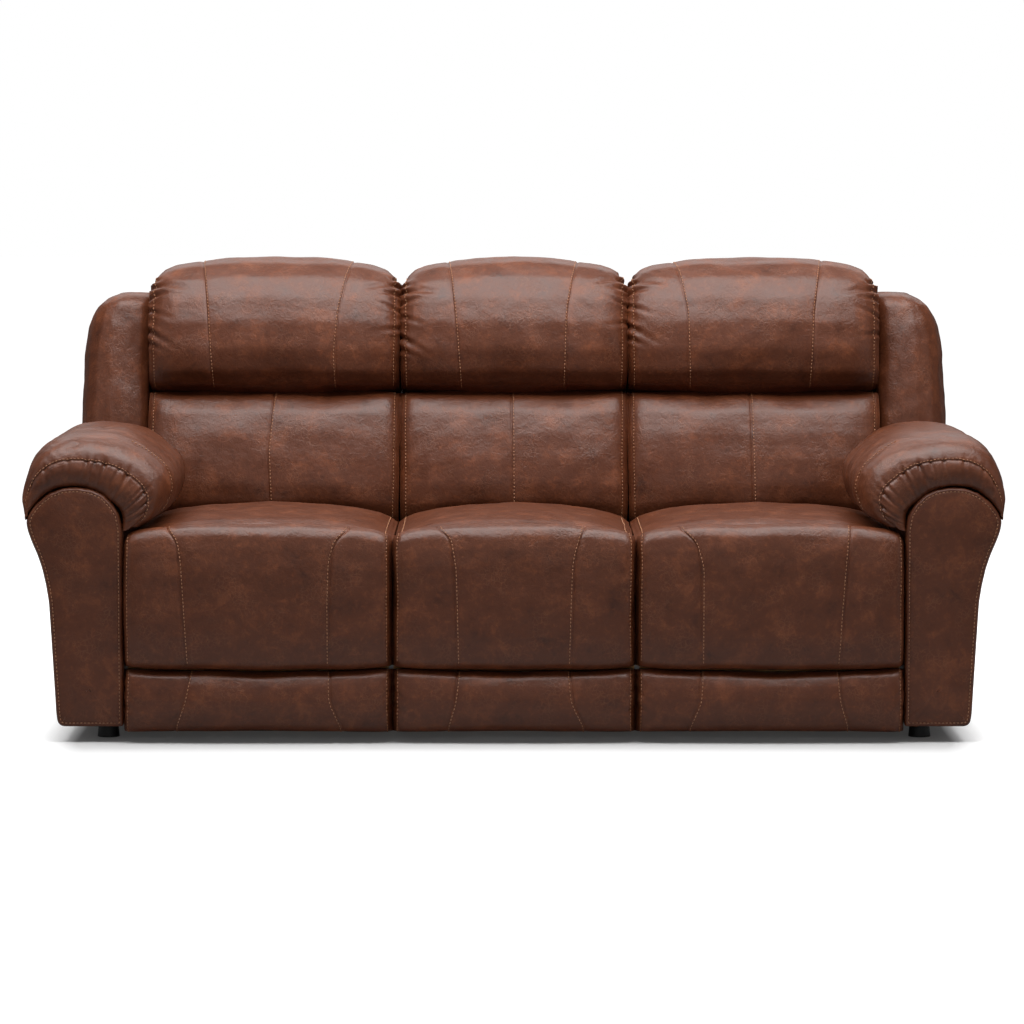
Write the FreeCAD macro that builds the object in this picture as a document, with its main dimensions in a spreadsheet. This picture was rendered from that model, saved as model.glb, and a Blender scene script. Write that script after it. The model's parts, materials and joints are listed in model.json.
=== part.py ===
import FreeCAD, Part
import math
import os
import Sketcher
from FreeCAD import Rotation, Vector

# A dual reclining three-seat sofa. X runs to the right seen from the front, Y to the back, Z up.
# The origin is the middle of the footprint on the floor. "Distance" along the depth is measured
# backwards from the front face of the foot pads.

os.makedirs("parts", exist_ok=True)
doc = FreeCAD.newDocument("reclining_sofa")
sheet = doc.addObject("Spreadsheet::Sheet", "dims")

SIZES = {
    # Overall sizes and the modules
    "sofa_depth": 970, "back_reach": 216.8, "middle_width": 534, "end_width": 590, "seam_gap": 1,
    "foot_height": 35, "foot_radius": 24.5, "rail_height": 60, "rail_wide": 28, "front_rail": 290,
    "board": 18, "wall": 8, "fit_gap": 0.4, "rest_gap": 0.3, "pin_gap": 0.05,
    # Arms
    "arm_reach": 210, "arm_top": 561, "arm_spring": 470, "arm_widest": 487, "arm_waist": 292,
    "waist_width": 160, "arm_foot_width": 146, "arm_front": 30, "panel_thick": 15,
    "arm_rear_gap": 87, "arm_tail": 133, "tail_top": 243, "pad_overhang": 121.5, "pad_thick": 124,
    # Foot pads and bolsters
    "pad_deep": 65, "pad_top": 486, "pad_low": 169, "pad_corner_drop": 30, "bolster_low": 33,
    "bolster_top": 164, "front_board": 15, "board_low": 60, "board_top": 440,
    # Seats
    "seat_front": 86, "seat_crown": 486, "seat_edge": 448, "seat_rear_gap": 165,
    "frame_front": 110, "frame_rail": 25, "frame_height": 36, "side_rail_in": 222,
    "strap": 2, "strap_wide": 50,
    # Backs, measured in the back's own leaning frame from the hinge
    "back_lean": 14, "hinge_height": 290, "post_deep": 38, "post_front": 18, "post_low": -12,
    "post_top": 690, "lumbar_low": 110, "lumbar_deep": 190, "lumbar_top": 432,
    "pillow_deep": 215, "pillow_top": 756, "panel_back": 25, "panel_low": -60, "panel_top": 698,
    "wing_top": 678, "wing_low": -14, "wing_width": 161, "wing_deep": 130,
    # Recline swing links
    "swing_length": 110, "swing_lean": 10.5, "swing_front": 380, "swing_rear": 640,
    "swing_base": 45, "plate_rise": 68, "hinge_radius": 15,
    # Steel plates of the mechanism, laid side by side from the bracket outwards
    "steel": 3, "layer_gap": 1, "layer_first": 240, "link_radius": 10, "pin_radius": 4,
    "open_pin_slack": 2.9, "bracket_slack": 0.4,
    # Footrest linkage: pivot places on the side plate and lengths between pivots
    "front_pivot": 183.08, "front_pivot_drop": 13.6, "rear_pivot": 211.16, "rear_pivot_drop": 31.2,
    "front_link": 257.2, "front_link_cross": 194.8, "cross_link": 233.07, "cross_tail": 26.29,
    "rear_link": 196.23, "short_link": 233.02, "front_angle": -108.43, "cross_angle": 51.31,
    "rear_angle": -105.4, "short_angle": 51.18, "bracket_down": 59.73, "bracket_back": 19.36,
    # Release levers
    "cup_long": 104, "cup_tall": 60, "cup_deep": 26, "cup_wall": 2, "flange": 8, "flange_thick": 2.5,
    "release_at": 300, "release_height": 180, "flap_long": 54, "flap_thick": 4, "release_pin": 2,
    # Bolts between the base rails and the arms
    "bolt_radius": 4, "bolt_length": 64, "bolt_up": 37, "bolt_head": 6.5, "bolt_head_thick": 5.5,
}
for row, (name, number) in enumerate(SIZES.items(), 1):
    sheet.set(f"A{row}", name.replace("_", " "))
    sheet.set(f"B{row}", str(number))
    sheet.setAlias(f"B{row}", name)
doc.recompute()


class Size:
    """A length or angle with its number and the spreadsheet expression that gives it."""

    def __init__(self, number, text=None):
        self.number = float(number)
        self.text = text or f"({number})"

    def join(self, sign, other, turned=False):
        first, second = (as_size(other), self) if turned else (self, as_size(other))
        a, b = first.number, second.number
        number = {"+": a + b, "-": a - b, "*": a * b}[sign] if sign != "/" else a / b
        return Size(number, f"({first.text} {sign} {second.text})")

    def __add__(self, other):
        return self.join("+", other)

    def __radd__(self, other):
        return self.join("+", other, True)

    def __sub__(self, other):
        return self.join("-", other)

    def __rsub__(self, other):
        return self.join("-", other, True)

    def __mul__(self, other):
        return self.join("*", other)

    def __rmul__(self, other):
        return self.join("*", other, True)

    def __truediv__(self, other):
        return self.join("/", other)

    def __neg__(self):
        return 0 - self


def as_size(value):
    return value if isinstance(value, Size) else Size(value)


def cos(angle):
    angle = as_size(angle)
    return Size(math.cos(math.radians(angle.number)), f"cos({angle.text} * 1deg)")


def sin(angle):
    angle = as_size(angle)
    return Size(math.sin(math.radians(angle.number)), f"sin({angle.text} * 1deg)")


class Sizes:
    pass


D = Sizes()
for name in SIZES:
    setattr(D, name, Size(float(getattr(sheet, name)), f"dims.{name}"))

# Places that follow from the driving sizes

mid_half = D.middle_width / 2
arm_in = mid_half + D.end_width
end_half = D.end_width / 2
end_mid = mid_half + end_half
hinge_at = D.sofa_depth - D.back_reach
rail_top = D.foot_height + D.rail_height
swing_z = rail_top + D.swing_base
plate_top = swing_z + D.swing_length * cos(D.swing_lean) + D.plate_rise
frame_top = plate_top + D.frame_height
cushion_low = frame_top + D.strap + D.rest_gap
rear_rail = hinge_at + 13
seat_rear = hinge_at - D.seat_rear_gap
arm_rear = hinge_at - D.arm_rear_gap
board_rear = D.pad_deep + D.front_board


def back(distance):
    """Y of a distance behind the front face."""
    return distance - D.sofa_depth / 2


# Document helpers

def bind(thing, path, size):
    thing.setExpression(path, as_size(size).text)


def place(thing, x=0, y=0, z=0, axis=(1, 0, 0), angle=0):
    """Put a sub-part at x, y, z, turned about an axis, with every value bound to the sheet."""
    thing.Placement = FreeCAD.Placement(Vector(0, 0, 0), Rotation(Vector(*axis), 1))
    for path, value in (("x", x), ("y", y), ("z", z)):
        bind(thing, f"Placement.Base.{path}", value)
    bind(thing, "Placement.Rotation.Angle", angle)
    return thing


def box(x0, x1, y0, y1, z0, z1):
    board = doc.addObject("Part::Box", "board")
    for side, low, high in (("Length", x0, x1), ("Width", y0, y1), ("Height", z0, z1)):
        bind(board, side, as_size(high) - low)
    for path, low in (("x", x0), ("y", y0), ("z", z0)):
        bind(board, f"Placement.Base.{path}", low)
    return board


def rod(radius, length, x, y, z, axis=(0, 1, 0)):
    """A round bar from x, y, z. The axis is what Z turns about: Y lays it along X."""
    bar = doc.addObject("Part::Cylinder", "bar")
    bind(bar, "Radius", radius)
    bind(bar, "Height", length)
    return place(bar, x, y, z, axis, 90 if any(axis) and axis != (0, 0, 1) else 0)


def cut(base, *tools):
    """The base less every tool."""
    for tool in tools:
        result = doc.addObject("Part::Cut", "cut")
        result.Base, result.Tool = base, tool
        base = result
    return base


def group(label, parts):
    """A node of separate solids."""
    node = doc.addObject("Part::Compound", label)
    node.Label = label
    node.Links = parts
    return node


def single(label, thing):
    thing.Label = label
    return thing


def mirrored(thing, x=0, label=None):
    """The thing mirrored in the plane across X at x."""
    twin = doc.addObject("Part::Mirroring", "twin")
    twin.Source, twin.Normal = thing, Vector(1, 0, 0)
    bind(twin, "Base.x", x)
    if label:
        twin.Label = label
    return twin


def body(name="body"):
    return doc.addObject("PartDesign::Body", name)


def sketch(owner, role, offset, loops):
    """A sketch on one of the body's own planes, with loops of corners, arcs and circles."""
    drawing = owner.newObject("Sketcher::SketchObject", "outline")
    plane = [f for f in owner.Origin.OriginFeatures if f.Role == role][0]
    drawing.AttachmentSupport = [(plane, "")]
    drawing.MapMode = "FlatFace"
    bind(drawing, ".AttachmentOffset.Base.z", offset)
    for loop in loops:
        if loop[0] == "circle":
            draw_circle(drawing, *loop[1:])
        else:
            draw_loop(drawing, loop)
    return drawing


def fix_point(drawing, geometry, end, x, y):
    for kind, value in (("DistanceX", x), ("DistanceY", y)):
        value = as_size(value)
        rule = Sketcher.Constraint(kind, -1, 1, geometry, end, value.number)
        bind(drawing, f"Constraints[{drawing.addConstraint(rule)}]", value)


def draw_circle(drawing, x, y, radius):
    centre = Vector(as_size(x).number, as_size(y).number, 0)
    ring = drawing.addGeometry(Part.Circle(centre, Vector(0, 0, 1), radius.number), False)
    rule = drawing.addConstraint(Sketcher.Constraint("Radius", ring, radius.number))
    bind(drawing, f"Constraints[{rule}]", radius)
    fix_point(drawing, ring, 3, x, y)


def draw_loop(drawing, points):
    """A closed loop. A point with a third entry is one that an arc passes through on its way."""
    corners = [i for i, point in enumerate(points) if len(point) == 2]
    ends = []
    for n, i in enumerate(corners):
        j = corners[(n + 1) % len(corners)]
        start, stop = flat(points[i]), flat(points[j])
        if (i + 1) % len(points) == j:
            edge = drawing.addGeometry(Part.LineSegment(start, stop), False)
            ends.append((edge, 1, 2))
            continue
        via = points[(i + 1) % len(points)]
        through = flat(via)
        edge = drawing.addGeometry(Part.Arc(start, through, stop), False)
        leftward = (through - start).cross(stop - start).z > 0
        ends.append((edge, 1, 2) if leftward else (edge, 2, 1))
        dot = drawing.addGeometry(Part.Point(through), True)
        drawing.addConstraint(Sketcher.Constraint("PointOnObject", dot, 1, edge))
        fix_point(drawing, dot, 1, via[0], via[1])
    for n, (edge, _, last) in enumerate(ends):
        following, first, _ = ends[(n + 1) % len(ends)]
        drawing.addConstraint(Sketcher.Constraint("Coincident", edge, last, following, first))
    for n, i in enumerate(corners):
        edge, first, _ = ends[n]
        fix_point(drawing, edge, first, points[i][0], points[i][1])


def flat(point):
    return Vector(as_size(point[0]).number, as_size(point[1]).number, 0)


ARC = "arc"


def pad(owner, drawing, length, onwards=True):
    """Material from the sketch, along its plane's normal or, with onwards False, against it."""
    solid = owner.newObject("PartDesign::Pad", "pad")
    solid.Profile = drawing
    bind(solid, "Length", length)
    solid.Reversed = not onwards
    drawing.Visibility = False
    return solid


def pocket(owner, drawing, length, onwards):
    """A hollow from the sketch. Its own direction is against the plane's normal."""
    hollow = owner.newObject("PartDesign::Pocket", "pocket")
    hollow.Profile = drawing
    bind(hollow, "Length", length)
    hollow.Reversed = onwards
    return hollow


def block(role, loop, low, high):
    """A loop drawn on one of the three planes and stretched between two places along its normal."""
    solid = body("block")
    pad(solid, sketch(solid, role, low, [loop]), as_size(high) - low)
    return solid


def shaped(label, front, side, plan, spread):
    """What is left of three blocks in common: one drawn in front view, one in side view and one
    in plan. Spread gives the low and high ends of X, Y and Z, with some room around the piece."""
    (x0, x1), (y0, y1), (z0, z1) = spread
    solid = doc.addObject("Part::MultiCommon", label)
    solid.Shapes = [block("XZ_Plane", front, -as_size(y1), -as_size(y0)),
                    block("YZ_Plane", side, x0, x1), block("XY_Plane", plan, z0, z1)]
    solid.Label = label
    return solid


def rounded(owner, feature, radius, pick):
    """Fillet those edges of the last feature that the test picks."""
    doc.recompute()
    names = [f"Edge{n}" for n, edge in enumerate(feature.Shape.Edges, 1) if pick(edge.BoundBox)]
    fillet = owner.newObject("PartDesign::Fillet", "fillet")
    fillet.Base = (feature, names)
    bind(fillet, "Radius", radius)
    return fillet


# Steel plates of the mechanism, drawn straight in their own frame and turned into place

def layer(number):
    """X of a steel layer's inner face from the middle of its seat."""
    return D.layer_first + number * (D.steel + D.layer_gap)


def bar_link(length, holes, radius=D.link_radius, tail=0):
    """A flat bar from -tail to length along Y with round ends and holes at (place, radius)."""
    bar = body("bar_link")
    start, stop = -as_size(tail), as_size(length)
    loop = [(start, -radius), (stop, -radius), (stop + radius, 0, ARC), (stop, radius),
            (start, radius), (start - radius, 0, ARC)]
    pad(bar, sketch(bar, "YZ_Plane", 0, [loop]), D.steel)
    rings = [("circle", place_y, 0, hole) for place_y, hole in holes]
    pocket(bar, sketch(bar, "YZ_Plane", 0, rings), D.steel, True)
    return bar


def pivot_pin(first_layer, y, z, layers=2):
    """A flush pin from the inner face of one layer through that one and those outside it."""
    length = layers * D.steel + (layers - 1) * D.layer_gap
    return rod(D.pin_radius, length, end_mid + layer(first_layer), y, z)


def both_sides(parts):
    """The parts at the outer side of the seat and their twins at its inner side."""
    return parts + [mirrored(part, end_mid) for part in parts]


pin_hole = D.pin_radius + D.pin_gap


def along(start, length, angle):
    """The point a length from start, with angles measured up from straight forwards."""
    return start[0] - length * cos(angle), start[1] + length * sin(angle)


front_pivot = (back(D.front_pivot), plate_top - D.front_pivot_drop)
rear_pivot = (back(D.rear_pivot), plate_top - D.rear_pivot_drop)
cross_pivot = along(front_pivot, D.front_link_cross, D.front_angle)
short_pivot = along(front_pivot, D.front_link, D.front_angle)
bracket_pivot = along(cross_pivot, D.cross_link, D.cross_angle)
cross_end = along(cross_pivot, -D.cross_tail, D.cross_angle)
swing_turn = D.swing_length * sin(D.swing_lean)
swing_top = swing_z + D.swing_length * cos(D.swing_lean)


def footrest_links():
    """The four links that carry each footrest, at both sides of the right seat."""
    front = bar_link(D.front_link, [(0, pin_hole), (D.front_link_cross, pin_hole),
                                    (D.front_link, pin_hole)])
    place(front, end_mid + layer(2), *front_pivot, angle=180 - D.front_angle)
    rear = bar_link(D.rear_link, [(0, pin_hole), (D.rear_link, D.pin_radius + D.open_pin_slack)])
    place(rear, end_mid + layer(0), *rear_pivot, angle=180 - D.rear_angle)
    cross = bar_link(D.cross_link, [(-D.cross_tail, pin_hole), (0, pin_hole),
                                    (D.cross_link, pin_hole)], tail=D.cross_tail)
    place(cross, end_mid + layer(1), *cross_pivot, angle=180 - D.cross_angle)
    short = bar_link(D.short_link, [(0, pin_hole), (D.short_link, pin_hole)])
    place(short, end_mid + layer(1), *short_pivot, angle=180 - D.short_angle)
    short_end = along(short_pivot, D.short_link, D.short_angle)
    group("right_front_links", both_sides([front, pivot_pin(2, *front_pivot)]))
    group("right_rear_links", both_sides([rear, pivot_pin(0, *rear_pivot, layers=4)]))
    pins = [pivot_pin(0, *bracket_pivot), pivot_pin(1, *cross_pivot), pivot_pin(0, *cross_end)]
    group("right_cross_links", both_sides([cross, *pins]))
    pins = [pivot_pin(1, *short_pivot), pivot_pin(0, *short_end)]
    group("right_short_links", both_sides([short, *pins]))


def footrest_frame():
    """The footrest board with a steel bracket screwed to its back near each side."""
    side = end_half - 9
    board = box(end_mid - side, end_mid + side, back(D.pad_deep), back(board_rear),
                D.board_low, D.board_top)
    bracket = body("bracket")
    down, rear = D.bracket_down, D.bracket_back
    face = back(board_rear) - bracket_pivot[0]
    outline = [(face, 34), (face, -down - 34), (rear - 2, -down - 12), (rear + 9, -down - 5, ARC),
               (rear + 9, -down + 6), (10, 4), (4, 11, ARC), (-3, 13)]
    pad(bracket, sketch(bracket, "YZ_Plane", 0, [outline]), D.steel)
    rings = [("circle", 0, 0, pin_hole), ("circle", rear, -down, D.pin_radius + D.bracket_slack)]
    pocket(bracket, sketch(bracket, "YZ_Plane", 0, rings), D.steel, True)
    flange = [(face, 34), (face, -down - 34), (face + D.steel, -down - 34), (face + D.steel, 34)]
    pad(bracket, sketch(bracket, "YZ_Plane", 0, [flange]), 24, False)
    place(bracket, end_mid + layer(0), *bracket_pivot)
    group("right_footrest_frame", [board, *both_sides([bracket])])


def side_plates():
    """The plate at each side of the seat, with a top flange under the seat frame."""
    plate = body("side_plate")
    end = hinge_at + D.hinge_radius
    tip_y, tip_z = back(hinge_at), D.hinge_height
    start = back(D.front_pivot - 23)
    outline = [
        (start, plate_top), (start, front_pivot[1] - 16), (back(D.rear_pivot + 16), rear_pivot[1] - 22),
        (back(D.swing_front), swing_top - 16), (back(D.swing_rear + 40), swing_top - 16),
        (tip_y, tip_z - D.hinge_radius), (back(end), tip_z, ARC), (tip_y + 6, plate_top - 12),
        (tip_y - 6, plate_top),
    ]
    pad(plate, sketch(plate, "YZ_Plane", 0, [outline]), D.steel)
    flange = [(back(D.rear_pivot + 6), plate_top), (tip_y - 30, plate_top),
              (tip_y - 30, plate_top - D.steel), (back(D.rear_pivot + 6), plate_top - D.steel)]
    pad(plate, sketch(plate, "YZ_Plane", 0, [flange]), 26, False)
    tops = [(back(D.swing_front) + swing_turn, swing_top), (back(D.swing_rear) + swing_turn, swing_top)]
    places = [front_pivot, rear_pivot, *tops, (tip_y, tip_z)]
    rings = [("circle", y, z, pin_hole) for y, z in places]
    pocket(plate, sketch(plate, "YZ_Plane", 0, rings), D.steel, True)
    place(plate, end_mid + layer(3))
    group("right_side_plates", both_sides([plate]))


def swing_links():
    """Two parallel links at each side carry the seat, leaning back at rest."""
    for end, start in (("front", D.swing_front), ("rear", D.swing_rear)):
        bar = bar_link(D.swing_length, [(0, pin_hole), (D.swing_length, pin_hole)],
                       radius=D.link_radius + 2)
        place(bar, end_mid + layer(4), back(start), swing_z, angle=90 - D.swing_lean)
        pins = [pivot_pin(4, back(start), swing_z),
                pivot_pin(3, back(start) + swing_turn, swing_top)]
        group(f"right_{end}_swing_links", both_sides([bar, *pins]))


def base_plates():
    """Angle-section plates on the base rails that hold the swing links' lower pivots."""
    plate = body("base_plate")
    start, end = back(D.front_rail - 5), back(rear_rail + D.rail_wide)
    web = [(start, rail_top), (end, rail_top), (end, swing_z - 22), (back(D.swing_rear + 26), swing_z + 16),
           (back(D.swing_front - 26), swing_z + 16), (start, swing_z - 22)]
    pad(plate, sketch(plate, "YZ_Plane", 0, [web]), D.steel)
    foot = [(start, rail_top), (end, rail_top), (end, rail_top + D.steel), (start, rail_top + D.steel)]
    pad(plate, sketch(plate, "YZ_Plane", 0, [foot]), 22)
    rings = [("circle", back(y), swing_z, pin_hole) for y in (D.swing_front, D.swing_rear)]
    pocket(plate, sketch(plate, "YZ_Plane", 0, rings), D.steel, True)
    place(plate, end_mid + layer(5))
    right = both_sides([plate])
    group("mechanism_base_plates", right + [mirrored(part) for part in right])


# Wooden structure

bolt_spots = [(D.front_rail + D.rail_wide / 2), (rear_rail + D.rail_wide / 2)]
bolt_z = D.foot_height + D.bolt_up
bolt_start = arm_in + D.wall + D.fit_gap + D.board


def bolt_bore(distance, slack):
    """A bore for one frame bolt, from inside the arm into the rail's end."""
    return rod(D.bolt_radius + slack, D.bolt_length, bolt_start - D.bolt_length, back(distance), bolt_z)


def base_rails():
    rails = []
    for start in (D.front_rail, rear_rail):
        rail = box(-arm_in, arm_in, back(start), back(start + D.rail_wide), D.foot_height, rail_top)
        bore = bolt_bore(start + D.rail_wide / 2, D.pin_gap)
        rails.append(cut(rail, bore, mirrored(bore)))
    side = body("middle_side")
    end, neck, ledge = rear_rail + D.rail_wide, hinge_at - 6, D.hinge_height - 85
    loop = [(back(board_rear), rail_top), (back(end), rail_top), (back(end), ledge - 40),
            (back(neck), ledge), (back(neck), plate_top), (back(board_rear), plate_top)]
    pad(side, sketch(side, "YZ_Plane", 0, [loop]), 22)
    place(side, mid_half - 24)
    group("base_rails", rails + [side, mirrored(side)])


def arm_frames():
    """Boards inside each arm: an inner side, a low tail, a bottom and two posts."""
    start = arm_in + D.wall + D.fit_gap
    low = D.foot_height + D.wall + D.fit_gap
    across = D.waist_width - 32
    first = D.arm_front + D.panel_thick + 5
    last = arm_rear - D.wall - D.fit_gap
    tail = hinge_at + D.arm_tail - D.wall - D.fit_gap
    front_bore, rear_bore = [bolt_bore(spot, D.fit_gap) for spot in bolt_spots]
    side = cut(box(start, start + D.board, back(first), back(last), low, D.arm_spring - 6), front_bore)
    tail_top = D.tail_top - D.wall - D.fit_gap
    low_side = cut(box(start, start + D.board, back(last), back(tail), low, tail_top), rear_bore)
    inner = start + D.board
    outer = arm_in + D.arm_foot_width - D.wall - D.fit_gap - 4
    bottom = box(inner, outer, back(first), back(tail), low, low + D.board)
    posts = [box(inner, inner + across - D.board, back(y), back(y + D.board), low + D.board,
                 D.arm_waist + 60) for y in (first, last - D.board)]
    top = box(inner, inner + across - D.board, back(first), back(last), D.arm_waist + 60,
              D.arm_waist + 60 + D.board)
    right = [side, low_side, bottom, *posts, top]
    group("arm_frames", right + [mirrored(part) for part in right])


def keyhole(inset, low):
    """The arm's front outline: a round head that hangs outwards over a straight slim leg."""
    x, e = arm_in, as_size(inset)
    reach = arm_in + D.arm_reach
    return [
        (x + e, low), (x + e, D.arm_spring), (x + 33 + 0.7 * e, D.arm_top - 28 - 0.7 * e, ARC),
        (x + D.arm_reach / 2 + 4, D.arm_top - e), (reach - 27 - 0.7 * e, D.arm_top - 31 - 0.7 * e, ARC),
        (reach - e, D.arm_widest), (reach - 7 - e, D.arm_widest - 35, ARC),
        (reach - 22 - e, D.arm_widest - 67), (reach - 41 - e, D.arm_widest - 122, ARC),
        (x + D.waist_width - e, D.arm_waist), (x + D.arm_foot_width - e, low),
    ]


def release_place(thing):
    """Put a part of the release where it belongs on the arm's sloping outer side."""
    slope = (D.waist_width - D.arm_foot_width) / (D.arm_waist - D.foot_height)
    x = arm_in + D.arm_foot_width + slope * (D.release_height - D.foot_height)
    tilt = Size(math.degrees(math.atan(slope.number)), f"(atan({slope.text}) / 1deg)")
    return place(thing, x, back(D.release_at), D.release_height, (0, 1, 0), tilt)


def arm_cover():
    cover = body("arm_cover")
    front, low = back(D.arm_front + D.panel_thick), D.foot_height
    length = arm_rear - D.arm_front - D.panel_thick
    tail = hinge_at + D.arm_tail - arm_rear
    pad(cover, sketch(cover, "XZ_Plane", -front, [keyhole(0, low)]), length, False)
    outer = arm_in + D.arm_foot_width
    block = [(arm_in, low), (outer, low), (outer, D.tail_top), (arm_in, D.tail_top)]
    pad(cover, sketch(cover, "XZ_Plane", -back(arm_rear), [block]), tail, False)
    pocket(cover, sketch(cover, "XZ_Plane", -front, [keyhole(D.wall, low + D.wall)]),
           length - D.wall, False)
    wall = D.wall
    room = [(arm_in + wall, low + wall), (outer - wall, low + wall), (outer - wall, D.tail_top - wall),
            (arm_in + wall, D.tail_top - wall)]
    pocket(cover, sketch(cover, "XZ_Plane", -front, [room]), length + tail - wall, False)
    gap = D.fit_gap
    window = body("cup_window")
    wide, tall = D.cup_long / 2 + gap, D.cup_tall / 2 + gap
    opening = [(-wide, -tall), (wide, -tall), (wide, tall), (-wide, tall)]
    pad(window, sketch(window, "YZ_Plane", -20, [opening]), 40)
    release_place(window)
    bores = [bolt_bore(spot, D.fit_gap) for spot in bolt_spots]
    single("right_arm_cover", cut(cover, window, *bores))


def arm_front_panel():
    panel = body("right_arm_front_panel")
    front = back(D.arm_front)
    plate = pad(panel, sketch(panel, "XZ_Plane", -front, [keyhole(0, D.foot_height)]),
                D.panel_thick, False)
    rounded(panel, plate, 4, lambda b: b.YMax < front.number + 0.01)


def arm_pad():
    """A padded saddle over the arm's head. It hangs over the seat and tapers off before the back."""
    x, g, hang = arm_in, D.fit_gap, D.pad_overhang
    reach, outer = arm_in + D.arm_reach, arm_in + D.arm_reach + 12
    top, spring = D.arm_top + D.pad_thick, D.arm_spring
    first, last = back(D.arm_front + 2), back(arm_rear - 6)
    saddle = [
        (x - g, spring - 8), (x - g, spring), (x + 33 - g, D.arm_top - 28 + g, ARC),
        (x + D.arm_reach / 2 + 4, D.arm_top + g), (reach - 27 + g, D.arm_top - 31 + g, ARC),
        (reach + g, D.arm_widest), (outer - 6, spring + 36), (outer, spring + 86, ARC),
        (outer - 28, spring + 159), (outer - 80, top - 9, ARC), (x + 66, top), (x - 30, top - 14, ARC),
        (x - 84, top - 50), (x - hang, spring + 92, ARC), (x - 99, spring + 36),
        (x - 56, spring + 7, ARC),
    ]
    side = [(first + 3, spring - 20), (first, spring + 100, ARC), (first + 4, top - 60),
            (first + 14, top - 20, ARC), (first + 52, top - 3), ((first + last) / 2, top + 1, ARC),
            (last - 110, top - 10), (last - 34, top - 28, ARC), (last - 2, top - 80),
            (last, spring - 20)]
    plan = [(x - hang + 24, first), (outer - 24, first), (outer - 6, first + 6, ARC), (outer + 1, first + 26),
            (outer + 1, last - 50), (outer - 8, last - 12, ARC), (outer - 40, last), (x, last),
            (x, last - 64), (x - 30, last - 104), (x - 84, last - 150, ARC), (x - hang, last - 216),
            (x - hang - 1, first + 26), (x - hang + 6, first + 6, ARC)]
    spread = ((x - hang - 4, outer + 4), (first - 4, last + 4), (spring - 20, top + 6))
    shaped("right_arm_pad", saddle, side, plan, spread)


def feet():
    spots = [(arm_in + 43, 137), (arm_in + 43, hinge_at + 98), (mid_half - 13, D.front_rail + 14),
             (mid_half - 13, rear_rail + 14)]
    right = []
    for x, distance in spots:
        foot = doc.addObject("Part::Cone", "foot")
        bind(foot, "Radius1", D.foot_radius)
        bind(foot, "Radius2", D.foot_radius - 3)
        bind(foot, "Height", D.foot_height)
        right.append(place(foot, x, back(distance), 0))
    group("feet", right + [mirrored(foot) for foot in right])


def frame_bolts():
    """Hexagon-head bolts through the arm boards into the ends of the base rails."""
    right = []
    for spot in bolt_spots:
        bolt = body("bolt")
        r = D.bolt_head
        corners = [(r * cos(60 * n), r * sin(60 * n)) for n in range(6)]
        pad(bolt, sketch(bolt, "YZ_Plane", 0, [corners]), D.bolt_head_thick)
        ring = ("circle", 0, 0, D.bolt_radius)
        pad(bolt, sketch(bolt, "YZ_Plane", 0, [ring]), D.bolt_length, False)
        right.append(place(bolt, bolt_start, back(spot), bolt_z))
    group("frame_bolts", right + [mirrored(bolt) for bolt in right])


# Seats. Each is built about the middle of its own width.

def seat_boards(middle, rail_in, rail_out):
    """Four rails of a seat frame."""
    first, last = D.frame_front, hinge_at - 32
    low, high, rail = plate_top, frame_top, D.frame_rail
    side = box(middle + rail_in, middle + rail_out, back(first), back(last), low, high)
    cross = [box(middle - rail_in, middle + rail_in, back(y), back(y + rail), low, high)
             for y in (first, last - rail)]
    return [side, mirrored(side, middle), *cross]


def straps(label, middle, rail_in):
    """Elastic webbing stretched from the front rail to the rear rail."""
    pitch = (2 * rail_in - D.strap_wide - 20) / 3
    bands = []
    for n in range(4):
        x = middle - rail_in + 10 + n * pitch
        bands.append(box(x, x + D.strap_wide, back(D.frame_front), back(hinge_at - 32), frame_top,
                         frame_top + D.strap))
    group(label, bands)


def seat_cushion(label, middle, half):
    """A crowned cushion with sides drawn in between its corners."""
    low, edge, top = cushion_low, D.seat_edge, D.seat_crown
    first, last = back(D.seat_front), back(seat_rear)
    left, right = middle - half, middle + half
    front = [(left + 5, low), (right - 5, low), (right, (low + edge) / 2, ARC), (right - 5, edge),
             (middle, top, ARC), (left + 5, edge), (left, (low + edge) / 2, ARC)]
    side = [(first + 5, low), (first, low + 56, ARC), (first + 6, top - 30), (first + 16, top - 9, ARC),
            (first + 46, top - 1), ((first + last) / 2, top, ARC), (last - 50, top - 3),
            (last - 14, top - 12, ARC), (last - 3, top - 34), (last, low + 56, ARC), (last - 5, low)]
    plan = [(left + 14, first), (right - 14, first), (right - 4, first + 4, ARC), (right, first + 16),
            (right - 6, (first + last) / 2, ARC), (right, last - 16), (right - 4, last - 4, ARC),
            (right - 14, last), (left + 14, last), (left + 4, last - 4, ARC), (left, last - 16),
            (left + 6, (first + last) / 2, ARC), (left, first + 16), (left + 4, first + 4, ARC)]
    spread = ((left - 2, right + 2), (first - 2, last + 2), (low, top + 2))
    shaped(label, front, side, plan, spread)


def swelling_plan(left, right, rear, face, inset):
    """A plan with a straight back, and a front that swells from drawn-in ends."""
    return [(left, rear), (left, face + inset), (left + 9, face + 0.4 * inset, ARC),
            (left + 42, face + 0.14 * inset), ((left + right) / 2, face, ARC),
            (right - 42, face + 0.14 * inset), (right - 9, face + 0.4 * inset, ARC),
            (right, face + inset), (right, rear)]


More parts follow.
